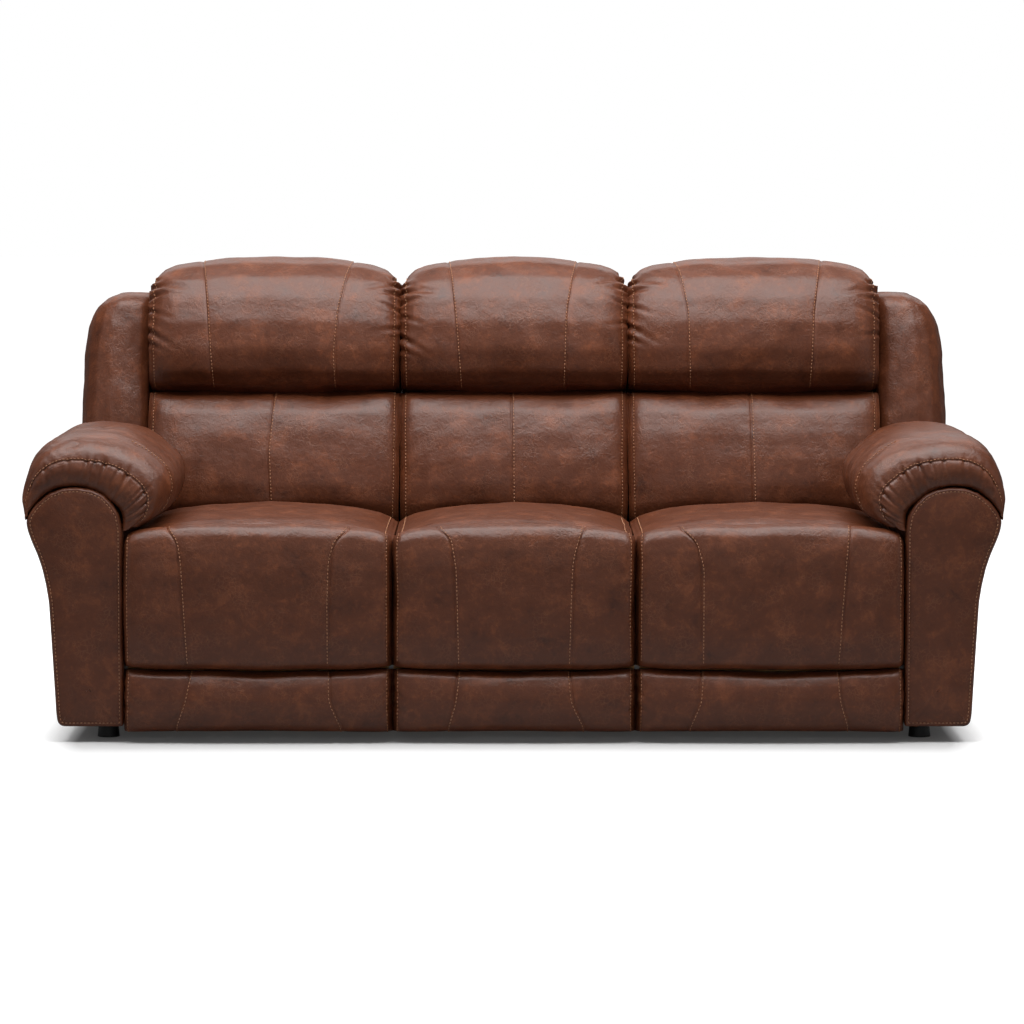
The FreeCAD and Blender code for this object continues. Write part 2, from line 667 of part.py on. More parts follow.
def front_pad(label, middle, half):
    """The pad over the front board: it swells forwards and wraps over the board's top."""
    rear, wrap = back(D.pad_deep - D.rest_gap), back(board_rear + 2)
    face, top, low = back(0), D.pad_top, D.pad_low
    left, right = middle - half, middle + half
    corner = top - D.pad_corner_drop
    side = [(rear, low + 6), (rear, D.board_top + D.rest_gap), (wrap, D.board_top + D.rest_gap),
            (wrap - 1, D.board_top + 14), (back(56), top, ARC), (face + 25, top - 24),
            (face, D.board_top - 116, ARC), (face + 25, low + 6), (face + 46, low, ARC)]
    front = [(left + 3, low), (right - 3, low), (right - 4, (low + corner) / 2, ARC), (right, corner - 22),
             (right - 5, corner - 5, ARC), (right - 24, corner), (middle, top, ARC), (left + 24, corner),
             (left + 5, corner - 5, ARC), (left, corner - 22), (left + 4, (low + corner) / 2, ARC)]
    plan = swelling_plan(left, right, wrap + 1, face, 22)
    spread = ((left - 1, right + 1), (face - 2, wrap + 2), (low - 1, top + 2))
    shaped(label, front, side, plan, spread)


def front_bolster(label, middle, half):
    """The round roll under the front pad."""
    rear, face = back(D.pad_deep - D.rest_gap), back(0)
    low, top = D.bolster_low, D.bolster_top
    left, right = middle - half, middle + half
    side = [(rear, D.board_low), (rear, top - 6), (face + 40, top, ARC), (face + 12, top - 22),
            (face + 1, top - 64, ARC), (face + 10, low + 26), (face + 26, low + 4, ARC), (face + 44, low),
            (rear - 8, low + 8, ARC)]
    front = [(left + 2, low - 1), (right - 2, low - 1), (right, (low + top) / 2, ARC), (right - 2, top + 1),
             (left + 2, top + 1), (left, (low + top) / 2, ARC)]
    plan = swelling_plan(left, right, rear + 1, face, 22)
    spread = ((left - 1, right + 1), (face - 2, rear + 2), (low - 1, top + 1))
    shaped(label, front, side, plan, spread)


# Backs. Each is drawn upright with its hinge at the origin, forwards being -Y, and then leaned.

def lean(thing):
    return place(thing, 0, back(hinge_at), D.hinge_height, angle=-D.back_lean)


def back_frames():
    post_in = layer(4) + D.steel
    rear, front = D.post_deep - D.post_front, -D.post_front
    outer = box(end_mid + post_in, arm_in + 0.7, front, rear, D.post_low, D.post_top)
    inner = box(mid_half + 12, end_mid - post_in, front, rear, D.post_low, D.post_top)
    rails = [box(end_mid - post_in, end_mid + post_in, front, rear, z, z + 38)
             for z in (120, 340, D.post_top - 38)]
    strap = bar_link(100, [(0, pin_hole)], radius=D.hinge_radius)
    place(strap, end_mid + layer(4), 0, 0, angle=90)
    pin = rod(D.pin_radius, 2 * D.steel + D.layer_gap, end_mid + layer(3), 0, 0)
    lean(group("right_back_frame", [outer, inner, *rails, *both_sides([strap, pin])]))
    edge = mid_half - 24
    post = box(edge - 24, edge, front, rear, -110, D.post_top)
    rails = [box(-(edge - 24), edge - 24, front, rear, z, z + 38) for z in (45, 330, D.post_top - 38)]
    lean(group("middle_back_frame", [post, mirrored(post), *rails]))


def lumbar(label, middle, half):
    """The lower back cushion, full in the middle and drawn in at its ends."""
    rear, face = -(D.post_front + D.rest_gap), -D.lumbar_deep
    low, top = D.lumbar_low, D.lumbar_top
    left, right = middle - half, middle + half
    side = [(rear, low), (rear, top), (face / 2 - 10, top - 2, ARC), (face + 14, top - 4),
            (face - 8, low + 180, ARC), (face, low + 42), (face + 12, low + 12, ARC), (face + 42, low)]
    front = [(left + 4, low - 1), (right - 4, low - 1), (right, (low + top) / 2, ARC), (right - 4, top + 1),
             (left + 4, top + 1), (left, (low + top) / 2, ARC)]
    plan = swelling_plan(left, right, rear + 1, face - 10, 48)
    spread = ((left - 1, right + 1), (face - 12, rear + 2), (low - 1, top + 1))
    lean(shaped(label, front, side, plan, spread))


def head_pillow(label, middle, half):
    """The upper back cushion, which rolls over the top of the back frame."""
    rear, face = -(D.post_front + D.rest_gap), -D.pillow_deep
    low, top = D.lumbar_top + 4, D.pillow_top
    over = D.post_deep - D.post_front + D.panel_back
    step = D.panel_top + D.rest_gap
    left, right = middle - half, middle + half
    side = [(rear, low + 4), (rear, step), (over, step), (over - 6, top - 22, ARC), (-58, top),
            (face + 42, top - 50, ARC), (face + 8, top - 130), (face - 8, top - 216, ARC),
            (face + 26, low + 12), (face / 2 - 16, low - 2, ARC)]
    front = [(left + 4, low - 3), (right - 4, low - 3), (right, (low + top) / 2, ARC), (right - 4, top - 74),
             (right - 12, top - 28, ARC), (right - 46, top - 8), (middle, top + 1, ARC),
             (left + 46, top - 8), (left + 12, top - 28, ARC), (left + 4, top - 74),
             (left, (low + top) / 2, ARC)]
    plan = swelling_plan(left, right, over + 1, face - 10, 60)
    spread = ((left - 1, right + 1), (face - 12, over + 2), (low - 4, top + 2))
    lean(shaped(label, front, side, plan, spread))


def back_panel(label, first, last):
    """The padded board over the back of the frame."""
    panel = body(label)
    loop = [(first, D.panel_low), (last, D.panel_low), (last, D.panel_top), (first, D.panel_top)]
    rear = D.post_deep - D.post_front + D.rest_gap
    plate = pad(panel, sketch(panel, "XZ_Plane", -rear, [loop]), D.panel_back, False)
    lean(panel)
    face = (rear + D.panel_back).number
    rounded(panel, plate, 10, lambda b: b.YMin > face - 0.01)


def back_wing():
    """The upholstered side of an end back, which stands beside and behind the arm."""
    inner, outer = arm_in + D.seam_gap, arm_in + D.wing_width
    rear = D.post_deep - D.post_front + D.panel_back
    deep, low, top = D.wing_deep, D.wing_low, D.wing_top
    side = [(rear, low), (-28, low), (-34, low + 60, ARC), (-62, low + 116), (26 - deep, low + 158, ARC),
            (4 - deep, low + 230), (-deep, low + 380, ARC), (8 - deep, top - 90), (26 - deep, top - 22, ARC),
            (70 - deep, top), (rear - 24, top), (rear - 7, top - 7, ARC), (rear, top - 26)]
    front = [(inner, low), (outer - 12, low), (outer, low + 360, ARC), (outer - 4, top - 56),
             (outer - 12, top - 14, ARC), (outer - 46, top), (inner, top)]
    plan = [(inner, rear), (inner, -deep - 1), (outer - 26, -deep - 1), (outer - 6, 7 - deep, ARC),
            (outer + 1, 26 - deep), (outer + 1, rear - 20), (outer - 5, rear - 5, ARC), (outer - 20, rear)]
    spread = ((inner, outer + 2), (-deep - 4, rear + 2), (low, top + 1))
    lean(shaped("right_back_wing", front, side, plan, spread))


# Release lever in its cup on the arm's outer side

def release():
    bezel = body("right_release_bezel")
    long, tall, wall = D.cup_long / 2, D.cup_tall / 2, D.cup_wall

    def frame(grow):
        a, b = long + grow, tall + grow
        return [(-a, -b), (a, -b), (a, b), (-a, b)]

    pad(bezel, sketch(bezel, "YZ_Plane", -D.cup_deep, [frame(0)]), D.cup_deep + 1)
    pad(bezel, sketch(bezel, "YZ_Plane", 0, [frame(D.flange)]), D.flange_thick)
    pocket(bezel, sketch(bezel, "YZ_Plane", D.flange_thick, [frame(-wall)]),
           D.cup_deep + D.flange_thick - wall, False)
    hinge_y = -(long - wall - 4.5)
    hole = sketch(bezel, "XY_Plane", 0, [("circle", -4, hinge_y, D.release_pin + D.pin_gap)])
    drilled = pocket(bezel, hole, 2 * tall, False)
    drilled.Midplane = True
    release_place(bezel)
    flap = body("flap")
    thick = D.flap_thick
    outline = [(-thick, hinge_y + 4), (-2 * thick, hinge_y, ARC), (-thick, hinge_y - 4),
               (-1.2, hinge_y - 2.8, ARC), (0, hinge_y), (0, hinge_y + D.flap_long),
               (-thick, hinge_y + D.flap_long)]
    half = tall - wall - 0.6
    leaf = pad(flap, sketch(flap, "XY_Plane", -half, [outline]), 2 * half)
    bore = sketch(flap, "XY_Plane", -half, [("circle", -thick, hinge_y, D.release_pin + D.pin_gap)])
    pocket(flap, bore, 2 * half, True)
    release_place(flap)
    pin = body("release_pin")
    dot = ("circle", -thick, hinge_y, D.release_pin)
    pad(pin, sketch(pin, "XY_Plane", -(tall - 0.2), [dot]), 2 * (tall - 0.2))
    release_place(pin)
    group("right_release_lever", [flap, pin])


# The whole sofa: the middle and right side are drawn, and the left side mirrors the right

def middle_seat():
    rail_in, rail_out = mid_half - 32, mid_half - 2
    half = mid_half - D.seam_gap
    board = box(-rail_out, rail_out, back(D.pad_deep), back(board_rear), D.board_low, D.board_top)
    group("middle_seat_frame", [*seat_boards(0, rail_in, rail_out), board])
    straps("middle_seat_webbing", 0, rail_in)
    seat_cushion("middle_seat_cushion", 0, half)
    front_pad("middle_front_pad", 0, half)
    front_bolster("middle_front_bolster", 0, half)
    lumbar("middle_lumbar_cushion", 0, half)
    head_pillow("middle_head_pillow", 0, half)
    back_panel("middle_back_panel", -half, half)


def right_seat():
    half = end_half - D.seam_gap
    rail_in = D.side_rail_in
    group("right_seat_frame", seat_boards(end_mid, rail_in, rail_in + 30))
    straps("right_seat_webbing", end_mid, rail_in)
    seat_cushion("right_seat_cushion", end_mid, half)
    front_pad("right_footrest_pad", end_mid, half)
    front_bolster("right_footrest_bolster", end_mid, half)
    lumbar("right_lumbar_cushion", end_mid, half)
    head_pillow("right_head_pillow", end_mid, half)
    back_panel("right_back_panel", end_mid - half, end_mid + half)
    back_wing()
    side_plates()
    swing_links()
    footrest_links()
    footrest_frame()


base_rails()
arm_frames()
arm_cover()
arm_front_panel()
arm_pad()
feet()
frame_bolts()
base_plates()
back_frames()
middle_seat()
right_seat()
release()
doc.recompute()

for node in [thing for thing in doc.Objects if thing.Label.startswith("right_")]:
    mirrored(node, label=node.Label.replace("right_", "left_"))
doc.recompute()

# Checks, and one STEP file for each node

NODES = [
    "base_rails", "arm_frames", "feet", "frame_bolts", "mechanism_base_plates",
    "middle_seat_frame", "middle_seat_webbing", "middle_seat_cushion", "middle_front_pad",
    "middle_front_bolster", "middle_back_frame", "middle_lumbar_cushion", "middle_head_pillow",
    "middle_back_panel",
]
for side in ("left", "right"):
    NODES += [f"{side}_{piece}" for piece in (
        "arm_cover", "arm_front_panel", "arm_pad", "seat_frame", "seat_webbing", "seat_cushion",
        "side_plates", "front_swing_links", "rear_swing_links", "front_links", "rear_links",
        "cross_links", "short_links", "footrest_frame", "footrest_pad", "footrest_bolster",
        "back_frame", "lumbar_cushion", "head_pillow", "back_panel", "back_wing", "release_bezel",
        "release_lever")]

for thing in doc.Objects:
    if {"Invalid", "Error"} & set(thing.State):
        raise RuntimeError(f"{thing.Label} ({thing.Name}) failed: {thing.State}")
total, faults = 0, []
for label in NODES:
    shape = doc.getObjectsByLabel(label)[0].Shape
    if shape.isNull() or not shape.isValid() or not shape.Solids:
        faults.append(f"{label} has no valid solid")
    elif min(solid.Volume for solid in shape.Solids) <= 0:
        faults.append(f"{label} has an inside-out solid")
    else:
        shape.exportStep(f"parts/{label}.step")
        total += len(shape.Solids)
if faults:
    raise RuntimeError("; ".join(faults))
print(f"{len(NODES)} nodes, {total} solids")
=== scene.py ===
import json
import math

import bpy
import numpy as np
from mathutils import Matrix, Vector


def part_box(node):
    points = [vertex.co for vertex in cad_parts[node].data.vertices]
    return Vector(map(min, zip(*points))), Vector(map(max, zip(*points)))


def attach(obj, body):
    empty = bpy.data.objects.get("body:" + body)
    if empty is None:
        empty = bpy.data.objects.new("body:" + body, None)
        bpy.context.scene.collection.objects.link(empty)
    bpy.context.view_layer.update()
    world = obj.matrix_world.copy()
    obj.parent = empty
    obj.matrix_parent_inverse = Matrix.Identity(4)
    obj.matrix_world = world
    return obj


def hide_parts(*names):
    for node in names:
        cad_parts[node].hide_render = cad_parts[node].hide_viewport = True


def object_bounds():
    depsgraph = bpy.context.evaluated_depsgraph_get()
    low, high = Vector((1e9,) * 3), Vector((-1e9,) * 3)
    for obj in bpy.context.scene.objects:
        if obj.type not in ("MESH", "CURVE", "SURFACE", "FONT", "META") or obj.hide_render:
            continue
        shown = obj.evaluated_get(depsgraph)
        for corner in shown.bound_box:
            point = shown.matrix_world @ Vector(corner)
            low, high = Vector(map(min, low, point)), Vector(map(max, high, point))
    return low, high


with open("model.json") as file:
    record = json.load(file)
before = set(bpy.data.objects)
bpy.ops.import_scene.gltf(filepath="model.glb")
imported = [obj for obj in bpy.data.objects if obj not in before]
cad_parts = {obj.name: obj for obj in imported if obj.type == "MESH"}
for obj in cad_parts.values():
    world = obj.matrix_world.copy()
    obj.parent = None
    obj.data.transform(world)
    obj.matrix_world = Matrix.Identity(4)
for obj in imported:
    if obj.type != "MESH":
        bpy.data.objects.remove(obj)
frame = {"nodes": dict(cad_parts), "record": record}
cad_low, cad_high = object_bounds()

bl_info = {
    "name": "Reclining Leather Sofa",
    "version": (1, 0, 0),
    "blender": (4, 5, 0),
    "location": "View3D > Sidebar > Sofa",
    "description": "Builds a three-seat reclining sofa in brown pull-up leather",
    "category": "Add Mesh",
}

MM = 0.001
# How far, in mm, a soft side stands out of its solid, so that neighbours just meet
TOUCH = 0.8
# Seats slide past the fixed front, so each of their ends stays this much further in, in mm
SEAT_CLEAR = 1.4
# Steps in mm between the stations of a cushion, those of its cloth, and the points of a spine
STATION_STEP, CLOTH_STEP, SPINE_STEP = 9.0, 22, 14
# Places of the rings that close an end, as shares of the way to its middle
CAP_RINGS = (0.10, 0.28, 0.5, 0.72, 0.9)
# Frames that the cloth runs for, how much longer than its grid it is, and how firmly seams hold it
CLOTH_FRAMES, CLOTH_SLACK, SEAM_HOLD = 14, 0.008, 0.6
# A curve that changes nothing
FLAT = ((0, 0), (1, 0))
SIDES = (("left", -1), ("right", 1))

# Places of the modules: the front of the row is read from the imported solids, the back's lean and
# hinge are given

MODULES = ("left", "middle", "right")
BACK_LEAN = math.radians(14)
HINGE_Y, HINGE_Z = 0.2682, 0.290
FRONT_Y = cad_low.y


def body_of(module, part):
    """The body of a module's back, seat or footrest; those of the middle module are fixed."""
    return "root" if module == "middle" else f"{module}_{part}"


# Settings that a user may change


def colour_setting(name, description, default):
    return bpy.props.StringProperty(
        name=name, description=f"{description}, as an sRGB hex value", default=default)


def length_setting(name, description, default, low, high):
    return bpy.props.FloatProperty(
        name=name, description=description, default=default, min=low, max=high, unit="LENGTH")


class SofaLeather(bpy.types.PropertyGroup):
    shade_dark: colour_setting("Dark Wax", "Leather colour where the wax lies thick", "#3C1D10")
    shade_body: colour_setting("Body Colour", "Main leather colour", "#502815")
    shade_pull: colour_setting("Pull-up Colour", "Leather colour where it is stretched", "#68371E")
    thread: colour_setting("Thread", "Stitching colour", "#A4724E")
    mottle: length_setting(
        "Mottle Size", "Size of the cloudy patches in the leather", 0.055, 0.02, 0.3)
    grain: length_setting(
        "Grain Size", "Width of one pebble of the leather's grain", 0.0028, 0.0005, 0.01)


class SofaSewing(bpy.types.PropertyGroup):
    stitch: length_setting("Stitch Length", "Length of one visible stitch", 0.0052, 0.002, 0.02)
    pitch: length_setting(
        "Stitch Pitch", "Distance from one stitch to the next", 0.0082, 0.003, 0.03)
    thread: length_setting("Thread Width", "Width of the thread", 0.0019, 0.0005, 0.004)
    seam: length_setting(
        "Seam Depth", "How deep a sewn seam sinks into the padding", 0.0030, 0.0, 0.02)


class SofaStage(bpy.types.PropertyGroup):
    floor: colour_setting("Floor", "Floor colour", "#A0A0A0")
    lens: bpy.props.FloatProperty(
        name="Lens", description="Focal length of the camera in millimetres", default=145.9,
        min=20, max=300)
    distance: length_setting(
        "Distance", "Camera distance in front of the foot pads", 9.0, 1.0, 30.0)
    height: length_setting("Height", "Camera height above the floor", 1.3, 0.1, 10.0)
    pitch: bpy.props.FloatProperty(
        name="Downward Tilt", description="How far the camera looks down",
        default=math.radians(5.01), min=0.0, max=1.5, subtype="ANGLE")


# Colours and shader nodes


def linear(hex_colour):
    """An sRGB hex value as linear RGBA."""
    channels = [int(hex_colour[i:i + 2], 16) / 255 for i in (1, 3, 5)]
    return [c / 12.92 if c <= 0.04045 else ((c + 0.055) / 1.055) ** 2.4 for c in channels] + [1.0]


def add(material, kind, settings=None, **links):
    """Adds a shader node: settings are its own properties, links its inputs' values or sources."""
    tree = material.node_tree
    node = tree.nodes.new(f"ShaderNode{kind}")
    for name, value in (settings or {}).items():
        setattr(node, name, value)
    for name, source in links.items():
        wanted = name.replace("_", " ").lower()
        socket = next((s for s in node.inputs if s.name.lower() == wanted and s.enabled), None)
        if socket is None:
            socket = node.inputs[int(name.lstrip("i"))]
        if isinstance(source, bpy.types.NodeSocket):
            tree.links.new(source, socket)
        else:
            socket.default_value = source
    return node


def ramp(material, source, *stops, smooth=False):
    """A colour ramp through (position, hex colour or grey) stops."""
    node = add(material, "ValToRGB", Fac=source)
    scale = node.color_ramp
    if smooth:
        scale.interpolation = "EASE"
    while len(scale.elements) < len(stops):
        scale.elements.new(0.5)
    for element, (position, value) in zip(scale.elements, stops):
        element.position = position
        element.color = linear(value) if isinstance(value, str) else (value, value, value, 1)
    return node.outputs["Color"]


def start(name):
    """An empty material and the object coordinates for its nodes."""
    material = bpy.data.materials.new(name)
    material.use_nodes = True
    material.node_tree.nodes.clear()
    return material, add(material, "TexCoord").outputs["Object"]


def noise(material, place, scale, detail, **links):
    return add(material, "TexNoise", Vector=place, Scale=scale, Detail=detail,
               **links).outputs["Fac"]


def compute(material, operation, *values, kind="Math", out="Value"):
    """The result of a Math or VectorMath node."""
    links = {f"i{number}": value for number, value in enumerate(values)}
    return add(material, kind, {"operation": operation}, **links).outputs[out]


def bump(material, strength, distance, height, **links):
    return add(material, "Bump", Strength=strength, Distance=distance, Height=height,
               **links).outputs["Normal"]


def mix(material, share, first, second):
    return add(material, "MixRGB", {"blend_type": "MIX"}, Fac=share, Color1=first,
               Color2=second).outputs["Color"]


def finish_surface(material, **links):
    shader = add(material, "BsdfPrincipled", **links)
    add(material, "OutputMaterial", Surface=shader.outputs["BSDF"])
    return material


def pull_up_leather(name, look):
    """Waxed pull-up leather: cloudy dark and light patches, short creases and a pebbled grain.

    The eye sees a deep brown that lightens where the hide is stretched, under a soft broad gloss.
    """
    m, place = start(name)
    clouds = noise(m, place, 1 / look.mottle, 5.0, Roughness=0.62, Distortion=0.35)
    fine = noise(m, place, 4.2 / look.mottle, 4.0, Roughness=0.7, Distortion=0.6)
    mixed = compute(m, "MULTIPLY_ADD", fine, 0.42, clouds)
    shades = ramp(m, mixed, (0.38, look.shade_dark), (0.68, look.shade_body),
                  (1.02, look.shade_pull), smooth=True)
    # Rusty flecks where the wax has worn thin
    flecks = compute(m, "MULTIPLY", ramp(m, fine, (0.56, 0.0), (0.72, 1.0)), 0.34)
    worn = mix(m, flecks, shades, linear("#70391D"))
    # Short creases, drawn about twice as coarse as real ones so that they show
    bent = add(m, "TexNoise", Vector=place, Scale=60.0, Detail=2.0).outputs["Color"]
    shifted = compute(m, "MULTIPLY_ADD", bent, (0.016, 0.016, 0.016), place,
                      kind="VectorMath", out="Vector")
    cells = add(m, "TexVoronoi", {"feature": "DISTANCE_TO_EDGE"}, Vector=shifted,
                Scale=95.0).outputs["Distance"]
    lines = ramp(m, cells, (0.0, 1.0), (0.09, 0.0))
    patches = ramp(m, noise(m, place, 16.0, 2.0), (0.48, 0.0), (0.62, 1.0))
    creases = compute(m, "MULTIPLY", lines, patches)
    creased = mix(m, compute(m, "MULTIPLY", creases, 0.11), worn, linear("#A06A4C"))
    pebbles = add(m, "TexVoronoi", {"feature": "SMOOTH_F1"}, Vector=place,
                  Scale=1 / look.grain).outputs["Distance"]
    relief = compute(m, "MULTIPLY_ADD", pebbles, -0.5, compute(m, "MULTIPLY", creases, -0.9))
    puckers = noise(m, place, 75.0, 3.0, Roughness=0.6, Distortion=0.8)
    soft = bump(m, 0.36, 0.0028, puckers, Normal=bump(m, 0.32, 0.0007, relief))
    gloss = ramp(m, mixed, (0.45, 0.34), (0.95, 0.46))
    return finish_surface(m, Base_Color=creased, Roughness=gloss, IOR=1.4, Normal=soft)


def bonded_thread(name, look):
    """Bonded polyester thread, twisted: fine slanting bands that catch the light."""
    m, place = start(name)
    twist = noise(m, place, 900.0, 1.0)
    colour = ramp(m, twist, (0.3, "#7E5238"), (0.7, look.thread))
    normal = bump(m, 0.4, 0.0003, twist)
    return finish_surface(m, Base_Color=colour, Roughness=0.55, Normal=normal)


def sawn_pine(name):
    """Planed pine rails: long pale grain with darker late wood, matt and unsealed."""
    m, place = start(name)
    long_way = add(m, "Mapping", Vector=place, Scale=(1.0, 9.0, 9.0)).outputs["Vector"]
    rings = noise(m, long_way, 9.0, 5.0, Distortion=1.2)
    bands = add(m, "TexWave", {"wave_type": "RINGS"}, Vector=long_way, Scale=1.6, Distortion=5.0,
                Detail=3.0).outputs["Fac"]
    both = compute(m, "MULTIPLY_ADD", bands, 0.45, rings)
    colour = ramp(m, both, (0.35, "#D9B585"), (0.72, "#C59A66"), (0.95, "#A97B4A"))
    normal = bump(m, 0.25, 0.0006, both)
    return finish_surface(m, Base_Color=colour, Roughness=0.68, Normal=normal)


def birch_ply(name):
    """Birch plywood boards: broad flame figure on the faces, matt."""
    m, place = start(name)
    stretched = add(m, "Mapping", Vector=place, Scale=(0.7, 6.0, 6.0)).outputs["Vector"]
    flame = noise(m, stretched, 7.0, 4.0, Distortion=2.4)
    colour = ramp(m, flame, (0.30, "#C79F6B"), (0.55, "#D8B581"), (0.80, "#B98C57"))
    normal = bump(m, 0.2, 0.0004, flame)
    return finish_surface(m, Base_Color=colour, Roughness=0.62, Normal=normal)


def dipped_steel(name):
    """Pressed steel, dipped in black enamel: faint orange peel and a low gloss."""
    m, place = start(name)
    worn = noise(m, place, 38.0, 4.0)
    colour = ramp(m, worn, (0.35, "#17181A"), (0.75, "#2A2C2F"))
    gloss = ramp(m, worn, (0.3, 0.30), (0.8, 0.46))
    normal = bump(m, 0.3, 0.0003, noise(m, place, 420.0, 2.0))
    return finish_surface(m, Base_Color=colour, Roughness=gloss, Normal=normal)


def zinc_plate(name):
    """Zinc-plated steel bolts: cloudy silver with a brushed look."""
    m, place = start(name)
    clouds = noise(m, place, 160.0, 4.0)
    colour = ramp(m, clouds, (0.3, "#9C9FA3"), (0.7, "#C9CCD0"))
    gloss = ramp(m, clouds, (0.3, 0.28), (0.7, 0.44))
    return finish_surface(m, Base_Color=colour, Metallic=1.0, Roughness=gloss)


def moulded_plastic(name):
    """Injection-moulded polypropylene with a fine spark texture, black and matt."""
    m, place = start(name)
    colour = ramp(m, noise(m, place, 30.0, 2.0), (0.3, "#0E0E0F"), (0.7, "#19191B"))
    normal = bump(m, 0.25, 0.0002, noise(m, place, 1400.0, 2.0))
    return finish_surface(m, Base_Color=colour, Roughness=0.5, Normal=normal)


def woven_webbing(name):
    """Elastic jute-and-rubber webbing: crossed warp and weft about 3 mm apart."""
    m, place = start(name)
    warp, weft = (add(m, "TexWave", {"bands_direction": way}, Vector=place,
                      Scale=53.0).outputs["Fac"] for way in ("X", "Y"))
    weave = compute(m, "MULTIPLY", warp, weft)
    colour = ramp(m, weave, (0.1, "#101012"), (0.8, "#2C2C30"))
    normal = bump(m, 0.7, 0.0008, weave)
    return finish_surface(m, Base_Color=colour, Roughness=0.85, Normal=normal)


finishes = {}


# Lines and grids. Shapes are drawn in millimetres and turned to metres at the end.


def blur(values, width):
    """Rounds a closed run of points; width is the blur in points."""
    count = len(values)
    waves = np.fft.rfft(values, axis=0)
    fade = np.exp(-2 * (np.pi * np.fft.rfftfreq(count) * width) ** 2)
    return np.fft.irfft(waves * fade[:, None], count, axis=0)


def loop(points, count, soften, marks=()):
    """A closed outline through points, rounded over about soften millimetres, evenly spaced.

    Points are set closer together beside each mark, which is a place where a seam runs.
    """
    corners = np.array(points, float)
    ring = np.vstack([corners, corners[:1]])
    run = np.r_[0, np.cumsum(np.linalg.norm(np.diff(ring, axis=0), axis=1))]
    fine = 1500
    at = np.linspace(0, run[-1], fine, endpoint=False)
    line = np.c_[np.interp(at, run, ring[:, 0]), np.interp(at, run, ring[:, 1])]
    line = blur(line, soften / (run[-1] / fine))
    ring = np.vstack([line, line[:1]])
    run = np.r_[0, np.cumsum(np.linalg.norm(np.diff(ring, axis=0), axis=1))]
    at = np.linspace(0, run[-1], count, endpoint=False)
    if marks:
        close = np.array([-12, -8, -5.5, -3.6, -2.2, -1, 0, 1, 2.2, 3.6, 5.5, 8, 12])
        centres = [run[np.linalg.norm(ring - np.array(mark), axis=1).argmin()] for mark in marks]
        dense = np.concatenate([centre + close for centre in centres]) % run[-1]
        away = np.abs(at[:, None] - dense[None]).min(axis=1)
        at = np.unique(np.r_[at[away > 0.5 * run[-1] / count], dense])
    return np.c_[np.interp(at, run, ring[:, 0]), np.interp(at, run, ring[:, 1])]


def curve(points, at, soften=0.0):
    """A value along a line through (position, value) points, softened over some millimetres."""
    x, y = np.array(points, float).T
    if not soften:
        return np.interp(at, x, y)
    spots = np.linspace(-2.2, 2.2, 9)
    weights = np.exp(-spots ** 2 / 2)
    at = np.asarray(at, float)
    total = sum(w * np.interp(np.abs(at + s * soften) if x[0] == 0 else at + s * soften, x, y)
                for s, w in zip(spots, weights))
    return total / weights.sum()


def slopes(at, values):
    """Slopes along the first axis for smooth interpolation."""
    rise = np.diff(values, axis=0) / np.diff(at)[:, None]
    inner = (rise[1:] + rise[:-1]) / 2
    return np.concatenate([rise[:1], inner, rise[-1:]])


def stretch(at, values, wanted):
    """Values on the first axis at the wanted positions, through a smooth curve."""
    flat = values.reshape(len(at), -1)
    rise = slopes(at, flat)
    i = np.clip(np.searchsorted(at, wanted) - 1, 0, len(at) - 2)
    gap = (at[i + 1] - at[i])[:, None]
    t = ((wanted - at[i])[:, None] / gap).clip(0, 1)
    a, b = flat[i], flat[i + 1]
    result = ((1 + 2 * t) * (1 - t) ** 2 * a + t * (1 - t) ** 2 * gap * rise[i]
              + t ** 2 * (3 - 2 * t) * b + t ** 2 * (t - 1) * gap * rise[i + 1])
    return result.reshape((len(wanted),) + values.shape[1:])


def ripple(points, size, seed):
    """Smooth waves over points, between about -1 and 1, the same every time."""
    rng = np.random.default_rng(seed)
    total = np.zeros(points.shape[:-1])
    for octave in range(2):
        for _ in range(9):
            way = rng.normal(size=3)
            way *= 2 ** octave * 2 * math.pi / size / np.linalg.norm(way)
            total += np.sin(points @ way + rng.uniform(0, 2 * math.pi)) * 0.36 / 1.8 ** octave
    return total


def normals_of(grid):
    """Outward normals of a grid that closes on itself along its second axis."""
    along = np.gradient(grid, axis=0)
    round_ = (np.roll(grid, -1, axis=1) - np.roll(grid, 1, axis=1)) / 2
    normal = np.cross(along, round_)
    normal /= np.linalg.norm(normal, axis=2, keepdims=True) + 1e-12
    centre = grid.mean(axis=1, keepdims=True)
    if ((grid - centre) * normal).sum() < 0:
        normal = -normal
    return normal


def refine(moved, columns, rows, fine_columns, count):
    """Moves of a coarse closed grid, read at the fine grid's columns and its count of rows."""
    moved = stretch(columns, moved, fine_columns)
    wrapped = np.concatenate([moved, moved[:, :1]], axis=1).transpose(1, 0, 2)
    return stretch(np.r_[rows, count], wrapped, np.arange(count)).transpose(1, 0, 2)


def stations(half, seams):
    """Positions along a cushion, evenly spaced and closer together beside each seam."""
    close = np.array([-15, -10, -7, -5, -3.4, -2, -1, 0, 1, 2, 3.4, 5, 7, 10, 15]) / half
    spots = [u + close for u in seams]
    spots += [np.array([-1, -1 + 0.6 / half, -1 + 2 / half, 1 - 2 / half, 1 - 0.6 / half, 1])]
    dense = np.concatenate(spots)
    dense = dense[np.abs(dense) <= 1]
    even = np.linspace(-1, 1, int(2 * half / STATION_STEP))
    even = even[np.abs(even[:, None] - dense[None]).min(axis=1) > 0.5 * STATION_STEP / half]
    return np.unique(np.r_[dense, even].round(6))


# Mesh pieces


